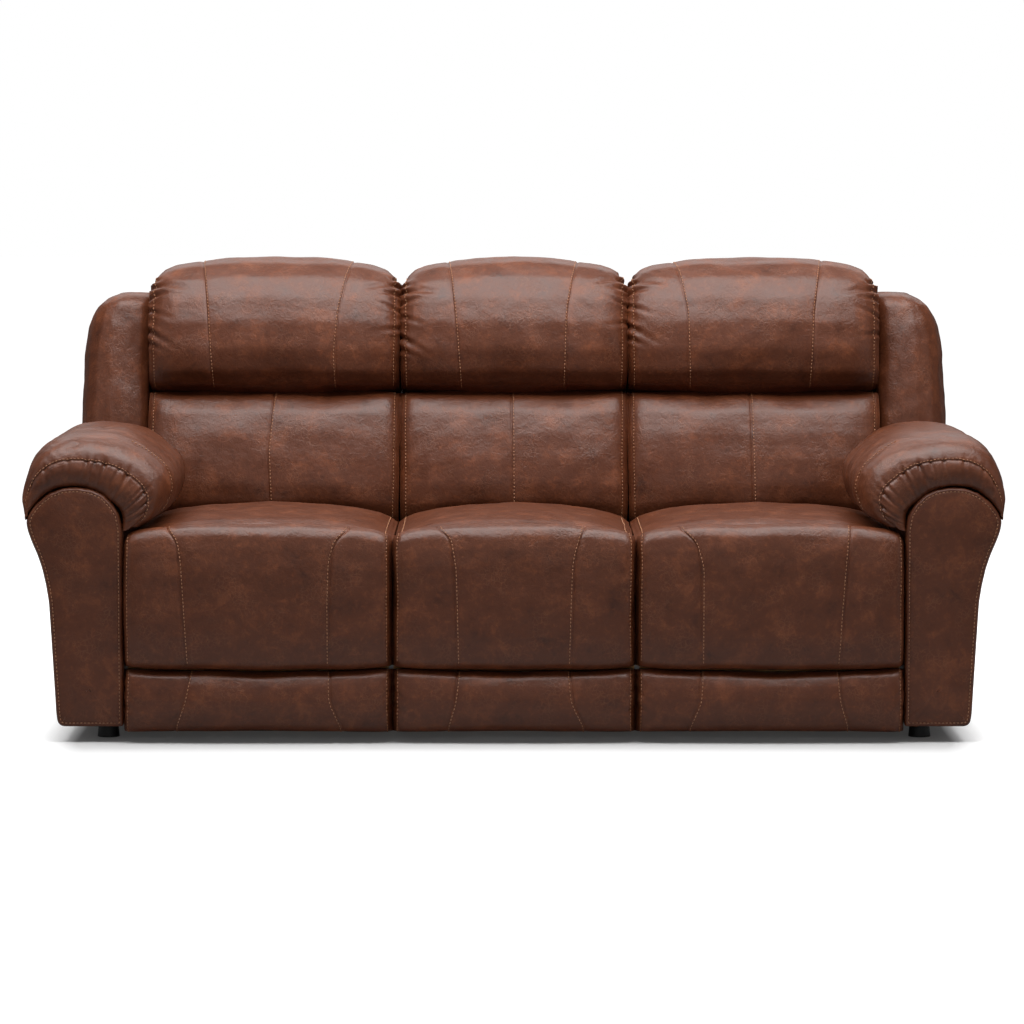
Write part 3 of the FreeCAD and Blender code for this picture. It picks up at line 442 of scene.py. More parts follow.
def mesh_object(name, points, faces, material):
    mesh = bpy.data.meshes.new(name)
    mesh.from_pydata(points.tolist(), [], faces)
    mesh.update()
    mesh.calc_loop_triangles()
    triangles = np.zeros(len(mesh.loop_triangles) * 3, np.int32)
    mesh.loop_triangles.foreach_get("vertices", triangles)
    a, b, c = points[triangles.reshape(-1, 3)].transpose(1, 0, 2)
    volume = np.einsum("ij,ij->i", a, np.cross(b, c)).sum()
    if volume < 0:
        mesh.flip_normals()
    mesh.polygons.foreach_set("use_smooth", [True] * len(mesh.polygons))
    mesh.materials.append(material)
    piece = bpy.data.objects.new(name, mesh)
    bpy.context.scene.collection.objects.link(piece)
    return piece


def closed_faces(columns, rows, first=0):
    """Quads of a tube of columns x rows points, closed round its rows."""
    i, j = np.meshgrid(np.arange(columns - 1), np.arange(rows), indexing="ij")
    k = (j + 1) % rows
    quads = np.stack([i * rows + j, (i + 1) * rows + j, (i + 1) * rows + k, i * rows + k], axis=-1)
    return (quads.reshape(-1, 4) + first).tolist()


def capped(grid):
    """The grid with flat closing rings at both ends, ending in two middle points."""
    middles = [end.mean(axis=0) for end in (grid[0], grid[-1])]
    first, last = (np.array([end + (middle - end) * share for share in CAP_RINGS])
                   for end, middle in zip((grid[0], grid[-1]), middles))
    body = np.concatenate([first[::-1], grid, last])
    columns, rows = body.shape[:2]
    points = np.concatenate([body.reshape(-1, 3), middles])
    faces = closed_faces(columns, rows)
    low, high = columns * rows, columns * rows + 1
    base = (columns - 1) * rows
    for j in range(rows):
        k = (j + 1) % rows
        faces.append([low, j, k])
        faces.append([high, base + k, base + j])
    return points, faces


def settle(grid, pins, pressure, cap):
    """Swells a coarse tube of cloth over its padding and returns how far each point moved, in mm.

    Pinned points are the sewn seams and the sides that rest on the frame.
    """
    columns, rows = grid.shape[:2]
    extra = len(CAP_RINGS)
    points, faces = capped(grid)
    cloth = mesh_object("cloth_trial", points * MM, faces, finishes["brown_leather"])
    held = cloth.vertex_groups.new(name="held")
    weights = np.ones((columns + 2 * extra, rows))
    weights[extra:-extra] = pins
    flat = np.r_[weights.ravel(), 1, 1]
    for value in np.unique(flat[flat > 0]):
        held.add(np.flatnonzero(flat == value).tolist(), float(value), "REPLACE")
    modifier = cloth.modifiers.new("fabric", "CLOTH")
    fabric = modifier.settings
    fabric.quality = 6
    fabric.mass = 0.35
    fabric.tension_stiffness = fabric.compression_stiffness = 12
    fabric.shear_stiffness = 6
    fabric.bending_stiffness = 2.5
    fabric.use_pressure = True
    fabric.uniform_pressure_force = pressure
    fabric.shrink_min = -CLOTH_SLACK
    fabric.vertex_group_mass = "held"
    fabric.effector_weights.gravity = 0
    modifier.collision_settings.use_collision = False
    modifier.point_cache.frame_end = CLOTH_FRAMES
    scene = bpy.context.scene
    for step in range(1, CLOTH_FRAMES + 1):
        scene.frame_set(step)
    shown = cloth.evaluated_get(bpy.context.evaluated_depsgraph_get())
    made = np.zeros(len(points) * 3)
    shown.data.vertices.foreach_get("co", made)
    scene.frame_set(1)
    moved = made.reshape(-1, 3) / MM - points
    moved = moved[:-2].reshape(columns + 2 * extra, rows, 3)[extra:-extra]
    bpy.data.objects.remove(cloth)
    length = np.linalg.norm(moved, axis=2, keepdims=True)
    moved = moved * np.minimum(1, cap / (length + 1e-9))
    # Padding evens out the small waves that a coarse cloth shows
    for _ in range(4):
        moved = (np.roll(moved, 1, axis=1) + 2 * moved + np.roll(moved, -1, axis=1)) / 4
        moved[1:-1] = (moved[:-2] + 2 * moved[1:-1] + moved[2:]) / 4
    return moved


# Stitching


def stitch_row(path, normal, sewing):
    """Points and faces of a row of stitches along a path on the leather, in metres."""
    run = np.r_[0, np.cumsum(np.linalg.norm(np.diff(path, axis=0), axis=1))]
    count = int(run[-1] / sewing.pitch)
    if count < 2:
        return np.zeros((0, 3)), []
    middle = (np.arange(count) + 0.5) * run[-1] / count
    half = sewing.stitch / 2
    along_spots = np.array([-1.0, -0.82, 0.0, 0.82, 1.0])
    thick = np.array([0.35, 0.85, 1.0, 0.85, 0.35]) * sewing.thread / 2
    lift = np.array([-0.4, 0.2, 0.4, 0.2, -0.4]) * sewing.thread
    at = (middle[:, None] + along_spots * half).ravel()
    centre = np.stack([np.interp(at, run, path[:, k]) for k in range(3)], axis=1)
    out = np.stack([np.interp(at, run, normal[:, k]) for k in range(3)], axis=1)
    out /= np.linalg.norm(out, axis=1, keepdims=True)
    ahead = np.stack([np.interp(at + 0.002, run, path[:, k]) for k in range(3)], axis=1)
    before = np.stack([np.interp(at - 0.002, run, path[:, k]) for k in range(3)], axis=1)
    along = ahead - before
    side = np.cross(along, out)
    side /= np.linalg.norm(side, axis=1, keepdims=True) + 1e-12
    angle = np.arange(6) * math.pi / 3
    radius = np.tile(thick, count)[:, None, None]
    centre = centre + out * np.tile(lift, count)[:, None]
    ring = (np.cos(angle)[None, :, None] * side[:, None]
            + np.sin(angle)[None, :, None] * out[:, None])
    points = (centre[:, None] + ring * radius).reshape(-1, 3)
    faces = []
    one = closed_faces(5, 6) + [[5, 4, 3, 2, 1, 0], [24, 25, 26, 27, 28, 29]]
    for n in range(count):
        faces += [[v + 30 * n for v in face] for face in one]
    return points, faces


def sew(name, rows, body):
    """One piece of thread geometry from many rows of stitches."""
    sewing = bpy.context.scene.sofa_sewing
    points, faces, first = [], [], 0
    for path, normal in rows:
        p, f = stitch_row(path, normal, sewing)
        points.append(p)
        faces += [[v + first for v in face] for face in f]
        first += len(p)
    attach(mesh_object(name, np.concatenate(points), faces, finishes["thread"]), body)


def upright(p):
    return p


def leaned(p):
    """From the back's own upright frame, with its hinge at the origin, to the leaning one."""
    c, s = math.cos(BACK_LEAN), math.sin(BACK_LEAN)
    y = HINGE_Y / MM + p[..., 1] * c + p[..., 2] * s
    z = HINGE_Z / MM + p[..., 2] * c - p[..., 1] * s
    return np.stack([p[..., 0], y, z], axis=-1)


def dress(name, points, faces, body, nodes, fill):
    """A leather piece from points in metres, which stands for its solids and moves with a body."""
    piece = mesh_object(name, points, faces, finishes["brown_leather"])
    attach(piece, body)
    if nodes:
        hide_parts(*nodes)


def panel(outline, spine, depths, place, rear, crown, ripples):
    """Points and faces of a padded board: rings run in from its outline to a spine.

    depths is how far back the face lies, in mm, by distance in from the outline, starting with the
    side wall at distance 0. The rear is flat, and crown is how far the face rises over its middle.
    place turns (x, back, z) into the row frame.
    """
    ring = np.roll(outline, -1, axis=0) - np.roll(outline, 1, axis=0)
    inward = np.stack([-ring[:, 1], ring[:, 0]], axis=1)
    inward /= np.linalg.norm(inward, axis=1, keepdims=True)
    if ((outline.mean(axis=0) - outline) * inward).sum() < 0:
        inward = -inward
    start_at, end_at = np.array(spine, float)
    reach = np.linalg.norm(end_at - start_at)
    count = int(reach / SPINE_STEP) + 2
    bones = start_at + (end_at - start_at) * np.linspace(0, 1, count)[:, None]
    along = ((outline - start_at) @ ((end_at - start_at) / reach)) / reach
    group = np.clip((along * (count - 1)).round().astype(int), 0, count - 1)
    target = start_at + (end_at - start_at) * along.clip(0, 1)[:, None]
    shares = (0, 0.12, 0.26, 0.42, 0.6, 0.8)
    flat = [outline + inward * inset for inset, _ in depths]
    last = flat[-1]
    flat += [last + (target - last) * share for share in shares[1:]]
    shape = [np.c_[flat[0][:, 0], np.full(len(outline), rear), flat[0][:, 1]]]
    face = depths[-1][1]
    for k, line in enumerate(flat):
        inset, back = depths[min(k, len(depths) - 1)]
        if k >= len(depths):
            back = face - crown * np.sin(math.pi / 2 * shares[k - len(depths) + 1])
        made = np.c_[line[:, 0], np.full(len(line), back), line[:, 1]]
        made[:, 1] -= ripples * min(1.0, inset / 10) * ripple(made, 120.0, 5)
        shape.append(made)
    bones = np.c_[bones[:, 0], np.full(count, face - crown), bones[:, 1]]
    bones[:, 1] -= ripples * ripple(bones, 120.0, 5)
    rear_bones = np.c_[bones[:, 0], np.full(count, rear), bones[:, 2]]
    rows = len(outline)
    points = np.concatenate([*shape, bones, rear_bones])
    faces = closed_faces(len(shape), rows)
    for first, base, flip in (((len(shape) - 1) * rows, len(shape) * rows, -1),
                              (0, len(shape) * rows + count, 1)):
        for i in range(rows):
            j = (i + 1) % rows
            a, b = group[i], group[j]
            cap = [first + i, first + j, base + b] + ([base + a] if a != b else [])
            faces.append(cap[::flip])
    return place(points) * MM, faces


def panel_ring(points, outline, depths, spot):
    """The closed line of a panel's points at one of its depths, where its topstitching runs."""
    first = (depths.index(spot) + 1) * len(outline)
    ring = points[first:first + len(outline)]
    return np.concatenate([ring, ring[:1]])


def groove(gap, seam, width, draw, roll):
    """How far leather sinks by its distance from a seam, in mm: a sharp line in a soft hollow."""
    return seam * np.exp(-gap / width) + draw * np.exp(-(gap / roll) ** 2)


def tuft(x, heights, lines, seam, roll=30.0, draw=1.4):
    """How far the leather sinks at vertical seams, in mm, with small puckers beside them."""
    sink = np.zeros(x.shape)
    for line in lines:
        away = np.abs(x - line[None, :])
        pucker = 0.5 + 0.5 * np.sin(heights[None, :] / 3.3 + 1.7 * np.sin(heights[None, :] / 17.0))
        sink += groove(away, seam, 3.0, draw, roll)
        sink += 0.35 * pucker * np.exp(-away / 13.0) * (1 - np.exp(-away / 3.0))
    return sink


def module_span(node):
    low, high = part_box(node)
    return (low.x + high.x) / 2 / MM, (high.x - low.x) / 2 / MM + TOUCH


def cushion(name, node, body, section, seams, ends, fill, swell, sewn, place=upright, rows=200,
            soften=7.0, edge=10.0, clear=0.0, pin=None, creases=None, top_fall=FLAT,
            low_rise=FLAT, side_bow=FLAT, rest_top=None, span_of=None):
    """A stuffed leather cushion whose cross-section runs along X. Returns its rows of stitches.

    section is the side view as (front-to-back, height) points. seams are (height, x) lines from the
    middle. ends is how far the front is drawn in, by distance from the nearer end. top_fall and
    low_rise are the same for the top and underside. side_bow is how far the ends pull in by height.
    swell is the cloth's pressure and the farthest it may move. sewn tells where stitches show.
    edge is how far the end seams lie from the ends, and clear is a gap left beyond each end.
    rest_top is the height of a frame that the cushion rolls over. span_of names the node whose
    width the cushion takes, if not its own.
    """
    seam = bpy.context.scene.sofa_sewing.seam / MM
    middle, half = module_span(span_of or node)
    half -= clear
    outline = loop(section, rows, soften)
    deep, tall = outline[:, 0], outline[:, 1]
    low, high, face, rear = tall.min(), tall.max(), deep.min(), deep.max()
    bow = curve(side_bow, tall, 8.0)
    lines = [curve(line, tall, 10.0) for line in seams]
    marks = [float(line.mean()) / half for line in lines]
    edge_mark = 1 - edge / half
    all_marks = (*marks, -edge_mark, edge_mark)
    anchors = [-1, -edge_mark, *marks, edge_mark, 1]
    places = np.stack([-(half - bow), -(half - bow) + edge, *lines, half - bow - edge, half - bow])
    forward = ((rear - deep) / (rear - face)).clip(0, 1)
    upward = ((tall - (low + high) / 2) / ((high - low) / 2)).clip(-1, 1)

    def draw(columns):
        x = np.stack([np.interp(columns, anchors, places[:, r]) for r in range(rows)], axis=1)
        inside = (half - bow)[None, :] - np.abs(x)
        pull = curve(ends, inside, 2.0) * forward ** 0.8
        rise = curve(low_rise, inside, 3.0) * (-upward).clip(0, 1) ** 1.5
        drop = curve(top_fall, inside, 3.0) * upward.clip(0, 1) ** 1.5
        if rest_top is not None:
            over_frame = ((deep + 70) / 50).clip(0, 1)[None, :]
            room = np.maximum(tall - rest_top, 0)[None, :]
            drop = drop * (1 - over_frame) + np.minimum(drop, room) * over_frame
        return np.stack([x, deep[None, :] + pull, tall[None, :] - drop + rise], axis=-1)

    fine = stations(half, [-edge_mark, *marks, edge_mark])
    grid = draw(fine)
    coarse = np.linspace(-1, 1, int(2 * half / CLOTH_STEP))
    coarse = np.unique(np.r_[coarse, all_marks].round(6))
    coarse = coarse[np.r_[True, np.diff(coarse) > 0.004]]
    every = np.arange(0, rows, 3)
    rough = draw(coarse)[:, every]
    held = np.zeros(rough.shape[:2])
    for mark in all_marks:
        held[np.abs(coarse - mark).argmin()] = SEAM_HOLD
    held[0] = held[-1] = 1
    held[:, forward[every] < 0.12 if pin is None else pin(deep[every], tall[every])] = 1
    grid = grid + refine(settle(rough, held, *swell), coarse, every, fine, rows)
    seed = sum(map(ord, name))
    normal = normals_of(grid)
    x = grid[..., 0]
    far = np.stack([half - bow - edge, -(half - bow - edge)])
    sink = tuft(x, tall, lines, seam)
    sink += 0.7 * tuft(x, tall, far, seam, roll=14.0, draw=1.5)
    sink -= 0.9 * ripple(grid, 190.0, seed) + 0.22 * ripple(grid, 42.0, seed + 1)
    if creases is not None:
        sink += creases(x, grid[..., 2], half)
    sink *= 1 - 0.7 * ((-upward).clip(0, 1) ** 3)[None, :]
    if rest_top is not None:
        sink *= 1 - ((deep + 90) / 50).clip(0, 1)[None, :]
    sink = np.where((forward < 0.10)[None, :], np.maximum(sink, 0) * 0.2, sink)
    grid = grid - normal * sink[..., None]
    world = place(grid + np.array([middle, 0, 0])) * MM
    dress(name, *capped(world), body, [node], fill)
    outward = normals_of(world)
    # Rows of stitches start where the hidden part of the section ends
    shows = sewn(deep, tall)
    start_row = int(np.flatnonzero(~shows)[0])
    order = (np.arange(rows) + start_row) % rows
    kept = order[shows[order]]
    breaks = np.flatnonzero(np.diff(kept - start_row) % rows != 1) + 1
    beside = [(mark, 5.0 if mark < 0 else -5.0) for mark in marks]
    rows_of_thread = []
    for mark, off in [*beside, (-edge_mark, 3.4), (edge_mark, -3.4)]:
        column = int(np.abs(fine - (mark + off / half)).argmin())
        for part in np.split(kept, breaks):
            if len(part) > 6:
                rows_of_thread.append((world[column, part], outward[column, part]))
    return rows_of_thread


def gathers(spots):
    """Pleats that run in from the ends: (end, height, slope, length, width, depth) each, in mm."""

    def pressed(x, v, half):
        sink = np.zeros(x.shape)
        for end, height, slope, length, width, depth in spots:
            inside = half - x * end
            off = v - (height + slope * inside)
            along = np.clip(1 - inside / length, 0, 1) ** 0.8
            sink += depth * along * (np.exp(-(off / width) ** 2)
                                     - 0.55 * np.exp(-((np.abs(off) - 2.1 * width) / width) ** 2))
        return sink

    return pressed


# Shapes of the soft pieces, measured from the photograph in millimetres

PILLOW_SECTION = [
    (-18.3, 440), (-18.3, 700.5), (43, 700.5), (44, 716), (30, 738), (-10, 753), (-60, 756),
    (-112, 752),
    (-152, 728), (-184, 686), (-205, 632), (-217, 572), (-216, 510), (-203, 464), (-176, 440),
    (-130, 434),
]
PILLOW_ENDS = [(0, 62), (4, 50), (12, 40), (28, 28), (60, 15), (110, 6), (180, 1), (320, 0)]
PILLOW_TOP = [(0, 74), (6, 60), (14, 48), (34, 31), (60, 22), (90, 16), (130, 10), (200, 4),
              (320, 0)]
PILLOW_LOW = [(0, 2), (12, -2), (60, -6), (200, -12), (320, -13)]
PILLOW_BOW = [(430, 3), (470, 1), (540, 0), (620, 0), (756, 0)]
# Height of the back frame that a pillow rolls over, and the swell of pillows and lumbar cushions
FRAME_TOP, BACK_SWELL = 702.0, (3.0, 9.0)

LUMBAR_SECTION = [
    (-18.3, 110), (-18.3, 432), (-100, 431), (-132, 424), (-160, 404), (-178, 366), (-189, 310),
    (-195, 250), (-195, 190), (-189, 148), (-172, 120), (-140, 110),
]
LUMBAR_ENDS = [(0, 52), (4, 40), (12, 30), (30, 20), (70, 11), (130, 5), (300, 0)]
LUMBAR_BOW = [(110, 3), (180, 1), (300, 0), (380, 0), (432, 0)]

SEAT_SECTION = [
    (-395, 354.6), (-397, 420), (-394, 456), (-384, 474), (-360, 483), (-240, 486), (-100, 486),
    (40, 484), (82, 476), (99, 452), (103, 400), (100, 354.6),
]
SEAT_ENDS = [(0, 14), (6, 6), (16, 2), (40, 0), (300, 0)]
SEAT_TOP = [(0, 52), (4, 44), (14, 34), (40, 24), (90, 14), (160, 6), (300, 0)]

PAD_SECTION = [
    (-420.5, 172), (-420.5, 440.5), (-404, 440.6), (-404, 455), (-410, 472), (-424, 483),
    (-440, 485.5),
    (-456, 478), (-468, 460), (-476, 430), (-481, 390), (-484, 330), (-484, 240), (-482, 220),
    (-475, 182), (-460, 167.5), (-436, 166),
]
PAD_ENDS = [(0, 62), (2.5, 32), (5, 19), (9, 11), (20, 6), (50, 2.5), (120, 0), (300, 0)]
PAD_LOW = [(0, 1), (20, -1), (80, -5), (300, -9)]
PAD_TOP = [(0, 33), (5, 27), (14, 22), (40, 15), (90, 8), (160, 3), (300, 0)]
PAD_BOW = [(167, 0), (440, 0), (470, 0.5), (486, 4)]

ROLL_SECTION = [
    (-420.5, 52), (-420.5, 164), (-436, 167), (-454, 166), (-471, 154), (-480, 128), (-484, 98),
    (-482, 66), (-475, 42), (-460, 26), (-442, 21), (-428, 28),
]
ROLL_TOP = [(0, 8), (8, 3), (20, 3), (80, 6), (300, 10)]

# Seam lines as (height, x from the middle) for each module
PILLOW_SEAMS = {
    "left": ([(436, -144), (600, -156), (700, -166), (756, -174)],
             [(436, 149), (500, 145), (600, 154), (700, 172), (756, 188)]),
    "middle": ([(436, -127), (600, -140), (700, -150), (756, -158)],
               [(436, 122), (600, 127), (700, 142), (756, 153)]),
    "right": ([(436, -154), (600, -158), (700, -174), (756, -190)],
              [(436, 135), (600, 142), (700, 156), (756, 166)]),
}
LUMBAR_SEAMS = {"left": [(110, -5), (270, -12), (432, 2)],
                "middle": [(110, -4), (270, -5), (432, -6)],
                "right": [(110, -5), (270, -8), (432, -10)]}
PAD_SEAMS = {
    "left": ([(169, -156), (300, -164), (400, -170), (450, -177), (486, -202)],
             [(169, 158), (300, 158), (400, 161), (450, 173), (486, 206)]),
    "middle": ([(169, -125), (300, -128), (390, -131), (460, -143), (486, -172)],
               [(169, 125), (300, 129), (400, 133), (460, 148), (486, 157)]),
    "right": ([(169, -152), (300, -152), (390, -152), (450, -168), (486, -204)],
              [(169, 152), (300, 160), (400, 168), (486, 176)]),
}
ROLL_SEAMS = {
    "left": ([(33, -183), (92, -161), (164, -148)], [(33, 188), (92, 161), (164, 159)]),
    "middle": ([(33, -149), (92, -131), (164, -123)], [(33, 158), (92, 129), (164, 123)]),
    "right": ([(33, -181), (92, -156), (164, -152)], [(33, 175), (92, 156), (164, 150)]),
}
# Pleats as for gathers
PILLOW_PLEATS = [
    (-1, 690, -0.25, 74, 5.0, 5.0), (-1, 672, -0.1, 96, 6.0, 6.5), (-1, 640, 0.22, 58, 4.5, 4.5),
    (-1, 610, -0.5, 60, 5.0, 4.0), (-1, 560, -0.75, 74, 6.0, 6.0), (-1, 530, -0.6, 52, 5.0, 3.5),
    (1, 700, -0.5, 70, 5.0, 5.5), (1, 676, -0.2, 88, 5.5, 6.0), (1, 648, 0.1, 62, 4.5, 4.5),
    (1, 606, 0.4, 60, 4.5, 4.0), (1, 566, -0.3, 52, 5.0, 3.5),
]
# How much higher a pillow's pleats lie at its right end, and lower at its left, in mm
PLEAT_SHIFT = {"left": 0, "middle": 14, "right": -12}
ROLL_PLEATS = [
    (-1, 120, -0.9, 60, 5, 1.4), (-1, 86, -0.7, 70, 6, 1.6), (1, 120, -0.9, 60, 5, 1.4),
    (1, 80, -0.5, 50, 6, 1.5), (-1, 146, -0.8, 44, 4, 0.9), (1, 148, -0.8, 44, 4, 0.9),
]
# The arm's roll: where the padding starts on the wooden head and where its surface is, going round
# from the inside under the roll to the outside, as x from the arm's inner face and height
ROLL_ROUND = [
    ((0, 466), (-50, 477)), ((0, 480), (-98, 506)), ((3, 505), (-120, 562)), ((14, 520),
    (-112, 605)),
    ((33, 533), (-84, 637)), ((60, 552), (-30, 670)), ((90, 561), (30, 683)), ((120, 562),
    (92, 684)),
    ((150, 556), (146, 672)), ((175, 540), (188, 640)), ((195, 520), (212, 590)), ((207, 502),
    (221, 542)),
    ((210.4, 490), (215, 506)),
]
ROLL_NOSE = [
    (0, 628), (0, 12), (5, 3), (20, -3), (43, -5), (66, 1), (86, 16), (104, 42), (115, 76),
    (120, 124),
    (120, 300), (119, 500), (112, 580), (92, 616), (60, 628),
]
NOSE_SEAM, RING_SEAM = (66, 1), (117, 92)
# How deep the nose's shape is drawn, and how far the roll starts behind the foot pads, in mm
ROLL_DEEP, ROLL_BACK = 120.0, 32
ROLL_START = [(0, 0), (412, 0), (478, 0.335), (524, 0.46), (564, 0.53), (700, 0.56)]
# Pleats run out from the wooden head to the seam: place round it, width, depth and slant
ARM_PLEATS = (
    (0.085, 0.007, 4.2, 0.05), (0.125, 0.008, 6.0, 0.07), (0.19, 0.008, 7.2, 0.08),
    (0.23, 0.006, 4.4, 0.06), (0.30, 0.009, 7.6, 0.09), (0.345, 0.006, 3.8, 0.07),
    (0.405, 0.009, 6.6, 0.08), (0.475, 0.007, 4.4, 0.06), (0.53, 0.009, 5.0, 0.05),
    (0.62, 0.008, 2.8, 0.04), (0.73, 0.009, 2.2, 0.02), (0.83, 0.008, 1.6, 0.0))

ARM_FRONT = [
    (0, 35), (0, 470), (6, 502), (20, 524), (40, 545), (66, 557), (96, 561.5), (128, 560),
    (160, 548),
    (186, 527), (203, 505), (210, 487), (207, 468), (198, 442), (186, 414), (176, 384), (168, 348),
    (162, 310), (158, 240), (148, 62), (145, 42), (136, 35),
]
# A board's face as (distance in from its edge, depth), and the place of its topstitching
FRONT_DEPTHS = [(0, 9.5), (0.5, 6.5), (1.6, 3.8), (3.4, 1.6), (5.6, 0.4), (7.4, 0.3), (8.4, 1.0),
                (9.4, 0.5), (11, -0.3), (14, -0.9), (20, -1.6)]
FRONT_STITCH = (8.4, 1.0)
PANEL_DEPTHS = [(0, 13), (0.8, 8), (2.6, 4.2), (5.5, 1.6), (9, 0.4), (11, 0.5), (12.2, 1.3),
                (13.4, 0.7), (16, 0.1), (22, -0.4)]
PANEL_STITCH = (12.2, 1.3)

# The arm's cover: rear of its tall part, its low rear part, the seams on its outer side, and the
# distances from its rear and from the front to the seams that run up it
ARM_REAR, TAIL_REAR = 181.0, 401.0
TAIL = [(1.5, 35), (1.5, 243), (146, 243), (146, 35)]
ROLL_EDGE, HEM = (186, 414), (148, 62)
REAR_SEAM, FRONT_SEAM = 26, 16
REAR_STEPS = np.array([9, 6.5, 4.4, 2.8, 1.6, 0.7, 0.2, 0])
REAR_ROUND = [(0, 8), (0.2, 6.6), (0.7, 5.2), (1.6, 3.7), (2.8, 2.3), (4.4, 1.1), (6.5, 0.3),
              (9, 0)]

# The wing's size before its edges are drawn in, the place of its rear, and its outlines
WING_WIDE, WING_DEEP, WING_REAR = 160, 170, 44.5
WING_LOW, WING_TOP = -14.0, 678.0
WING_FRONT = [(-14, -28), (46, -34), (102, -62), (144, -102), (216, -124), (366, -130),
              (588, -122), (640, -112), (664, -92), (678, -56)]
WING_OUT = [(0, 74), (3, 66), (8, 58), (18, 45), (36, 29), (60, 17), (84, 9), (150, 2), (240, 0)]
WING_FLARE = [(0, 12), (500, 5), (692, 0)]
WING_FOOT = [(0, 10), (6, 5), (24, 1), (60, 0)]
WING_SECTION = [
    (0, 0.0), (0, 0.84), (0.12, 0.93), (0.34, 0.99), (0.55, 0.995), (0.75, 0.93), (0.90, 0.79),
    (0.985, 0.58), (1.0, 0.36), (0.99, 0.12), (0.93, 0.02), (0.80, 0.0),
]


def mirror_x(points, sign):
    return points * np.array([sign, 1.0, 1.0])


def arm_in():
    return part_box("right_arm_front_panel")[0].x / MM


def on_arm(points, sign, back=0.0):
    """From the arm's own place, with its inner face at x 0, to the row's left or right side."""
    return mirror_x(points + np.array([arm_in(), back, 0]), sign)


class SofaOperator:
    bl_options = {"REGISTER", "UNDO"}


class SOFA_OT_finishes(SofaOperator, bpy.types.Operator):
    """Make the leather, thread, wood, steel, plastic and webbing finishes"""

    bl_idname = "sofa.finishes"
    bl_label = "Finishes"

    def execute(self, context):
        look = context.scene.sofa_leather
        finishes["brown_leather"] = pull_up_leather("waxed_pull_up_leather", look)
        finishes["thread"] = bonded_thread("bonded_polyester_thread", look)
        finishes["frame_wood"] = sawn_pine("planed_pine")
        finishes["board_wood"] = birch_ply("birch_plywood")
        finishes["black_steel"] = dipped_steel("black_dipped_steel")
        finishes["zinc_steel"] = zinc_plate("zinc_plated_steel")
        finishes["black_plastic"] = moulded_plastic("moulded_polypropylene")
        finishes["black_webbing"] = woven_webbing("woven_elastic_webbing")
        return {"FINISHED"}


class SOFA_OT_back_cushions(SofaOperator, bpy.types.Operator):
    """Build the head pillows and lumbar cushions"""

    bl_idname = "sofa.back_cushions"
    bl_label = "Back Cushions"

    def execute(self, context):
        for module in MODULES:
            body = body_of(module, "back")
            pleats = [(end, height + PLEAT_SHIFT[module] * end, *rest)
                      for end, height, *rest in PILLOW_PLEATS]
            rows = cushion(
                f"{module}_head_pillow_leather", f"{module}_head_pillow", body, PILLOW_SECTION,
                PILLOW_SEAMS[module], PILLOW_ENDS, 0.75, BACK_SWELL,
                lambda w, v: (w < -60) & (v > 437), place=leaned, rows=230, top_fall=PILLOW_TOP,
                low_rise=PILLOW_LOW, side_bow=PILLOW_BOW, creases=gathers(pleats),
                rest_top=FRAME_TOP)
            rows += cushion(
                f"{module}_lumbar_leather", f"{module}_lumbar_cushion", body, LUMBAR_SECTION,
                [LUMBAR_SEAMS[module]], LUMBAR_ENDS, 0.8, BACK_SWELL, lambda w, v: w < -90,
                place=leaned, side_bow=LUMBAR_BOW, span_of=f"{module}_head_pillow")
            sew(f"{module}_back_stitching", rows, body)
        return {"FINISHED"}


class SOFA_OT_seat_cushions(SofaOperator, bpy.types.Operator):
    """Build the three seat cushions"""

    bl_idname = "sofa.seat_cushions"
    bl_label = "Seat Cushions"

    def execute(self, context):
        for module in MODULES:
            body = body_of(module, "seat")
            rows = cushion(
                f"{module}_seat_leather", f"{module}_seat_cushion", body, SEAT_SECTION, [],
                SEAT_ENDS, 0.85, (2.5, 6.0), lambda w, v: (v > 470) & (w > -330) & (w < 60),
                top_fall=SEAT_TOP, edge=12.0, clear=SEAT_CLEAR, pin=lambda w, v: v < 400)
            sew(f"{module}_seat_stitching", rows, body)
        return {"FINISHED"}


class SOFA_OT_foot_pads(SofaOperator, bpy.types.Operator):
    """Build the upper foot pads and the bolsters under them"""

    bl_idname = "sofa.foot_pads"
    bl_label = "Foot Pads"

    def execute(self, context):
        for module in MODULES:
            part = "front" if module == "middle" else "footrest"
            body = body_of(module, "footrest")
            rows = cushion(
                f"{module}_foot_pad_leather", f"{module}_{part}_pad", body, PAD_SECTION,
                PAD_SEAMS[module], PAD_ENDS, 0.7, (2.0, 4.0),
                lambda w, v: (w < -436) & (v > 180), rows=190, soften=5.0, edge=8.0,
                top_fall=PAD_TOP, low_rise=PAD_LOW, side_bow=PAD_BOW)
            rows += cushion(
                f"{module}_bolster_leather", f"{module}_{part}_bolster", body, ROLL_SECTION,
                ROLL_SEAMS[module], PAD_ENDS, 0.75, (2.0, 3.5), lambda w, v: w < -446,
                rows=130, soften=5.0, edge=8.0, top_fall=ROLL_TOP, creases=gathers(ROLL_PLEATS),
                span_of=f"{module}_{part}_pad")
            sew(f"{module}_foot_stitching", rows, body)
        return {"FINISHED"}


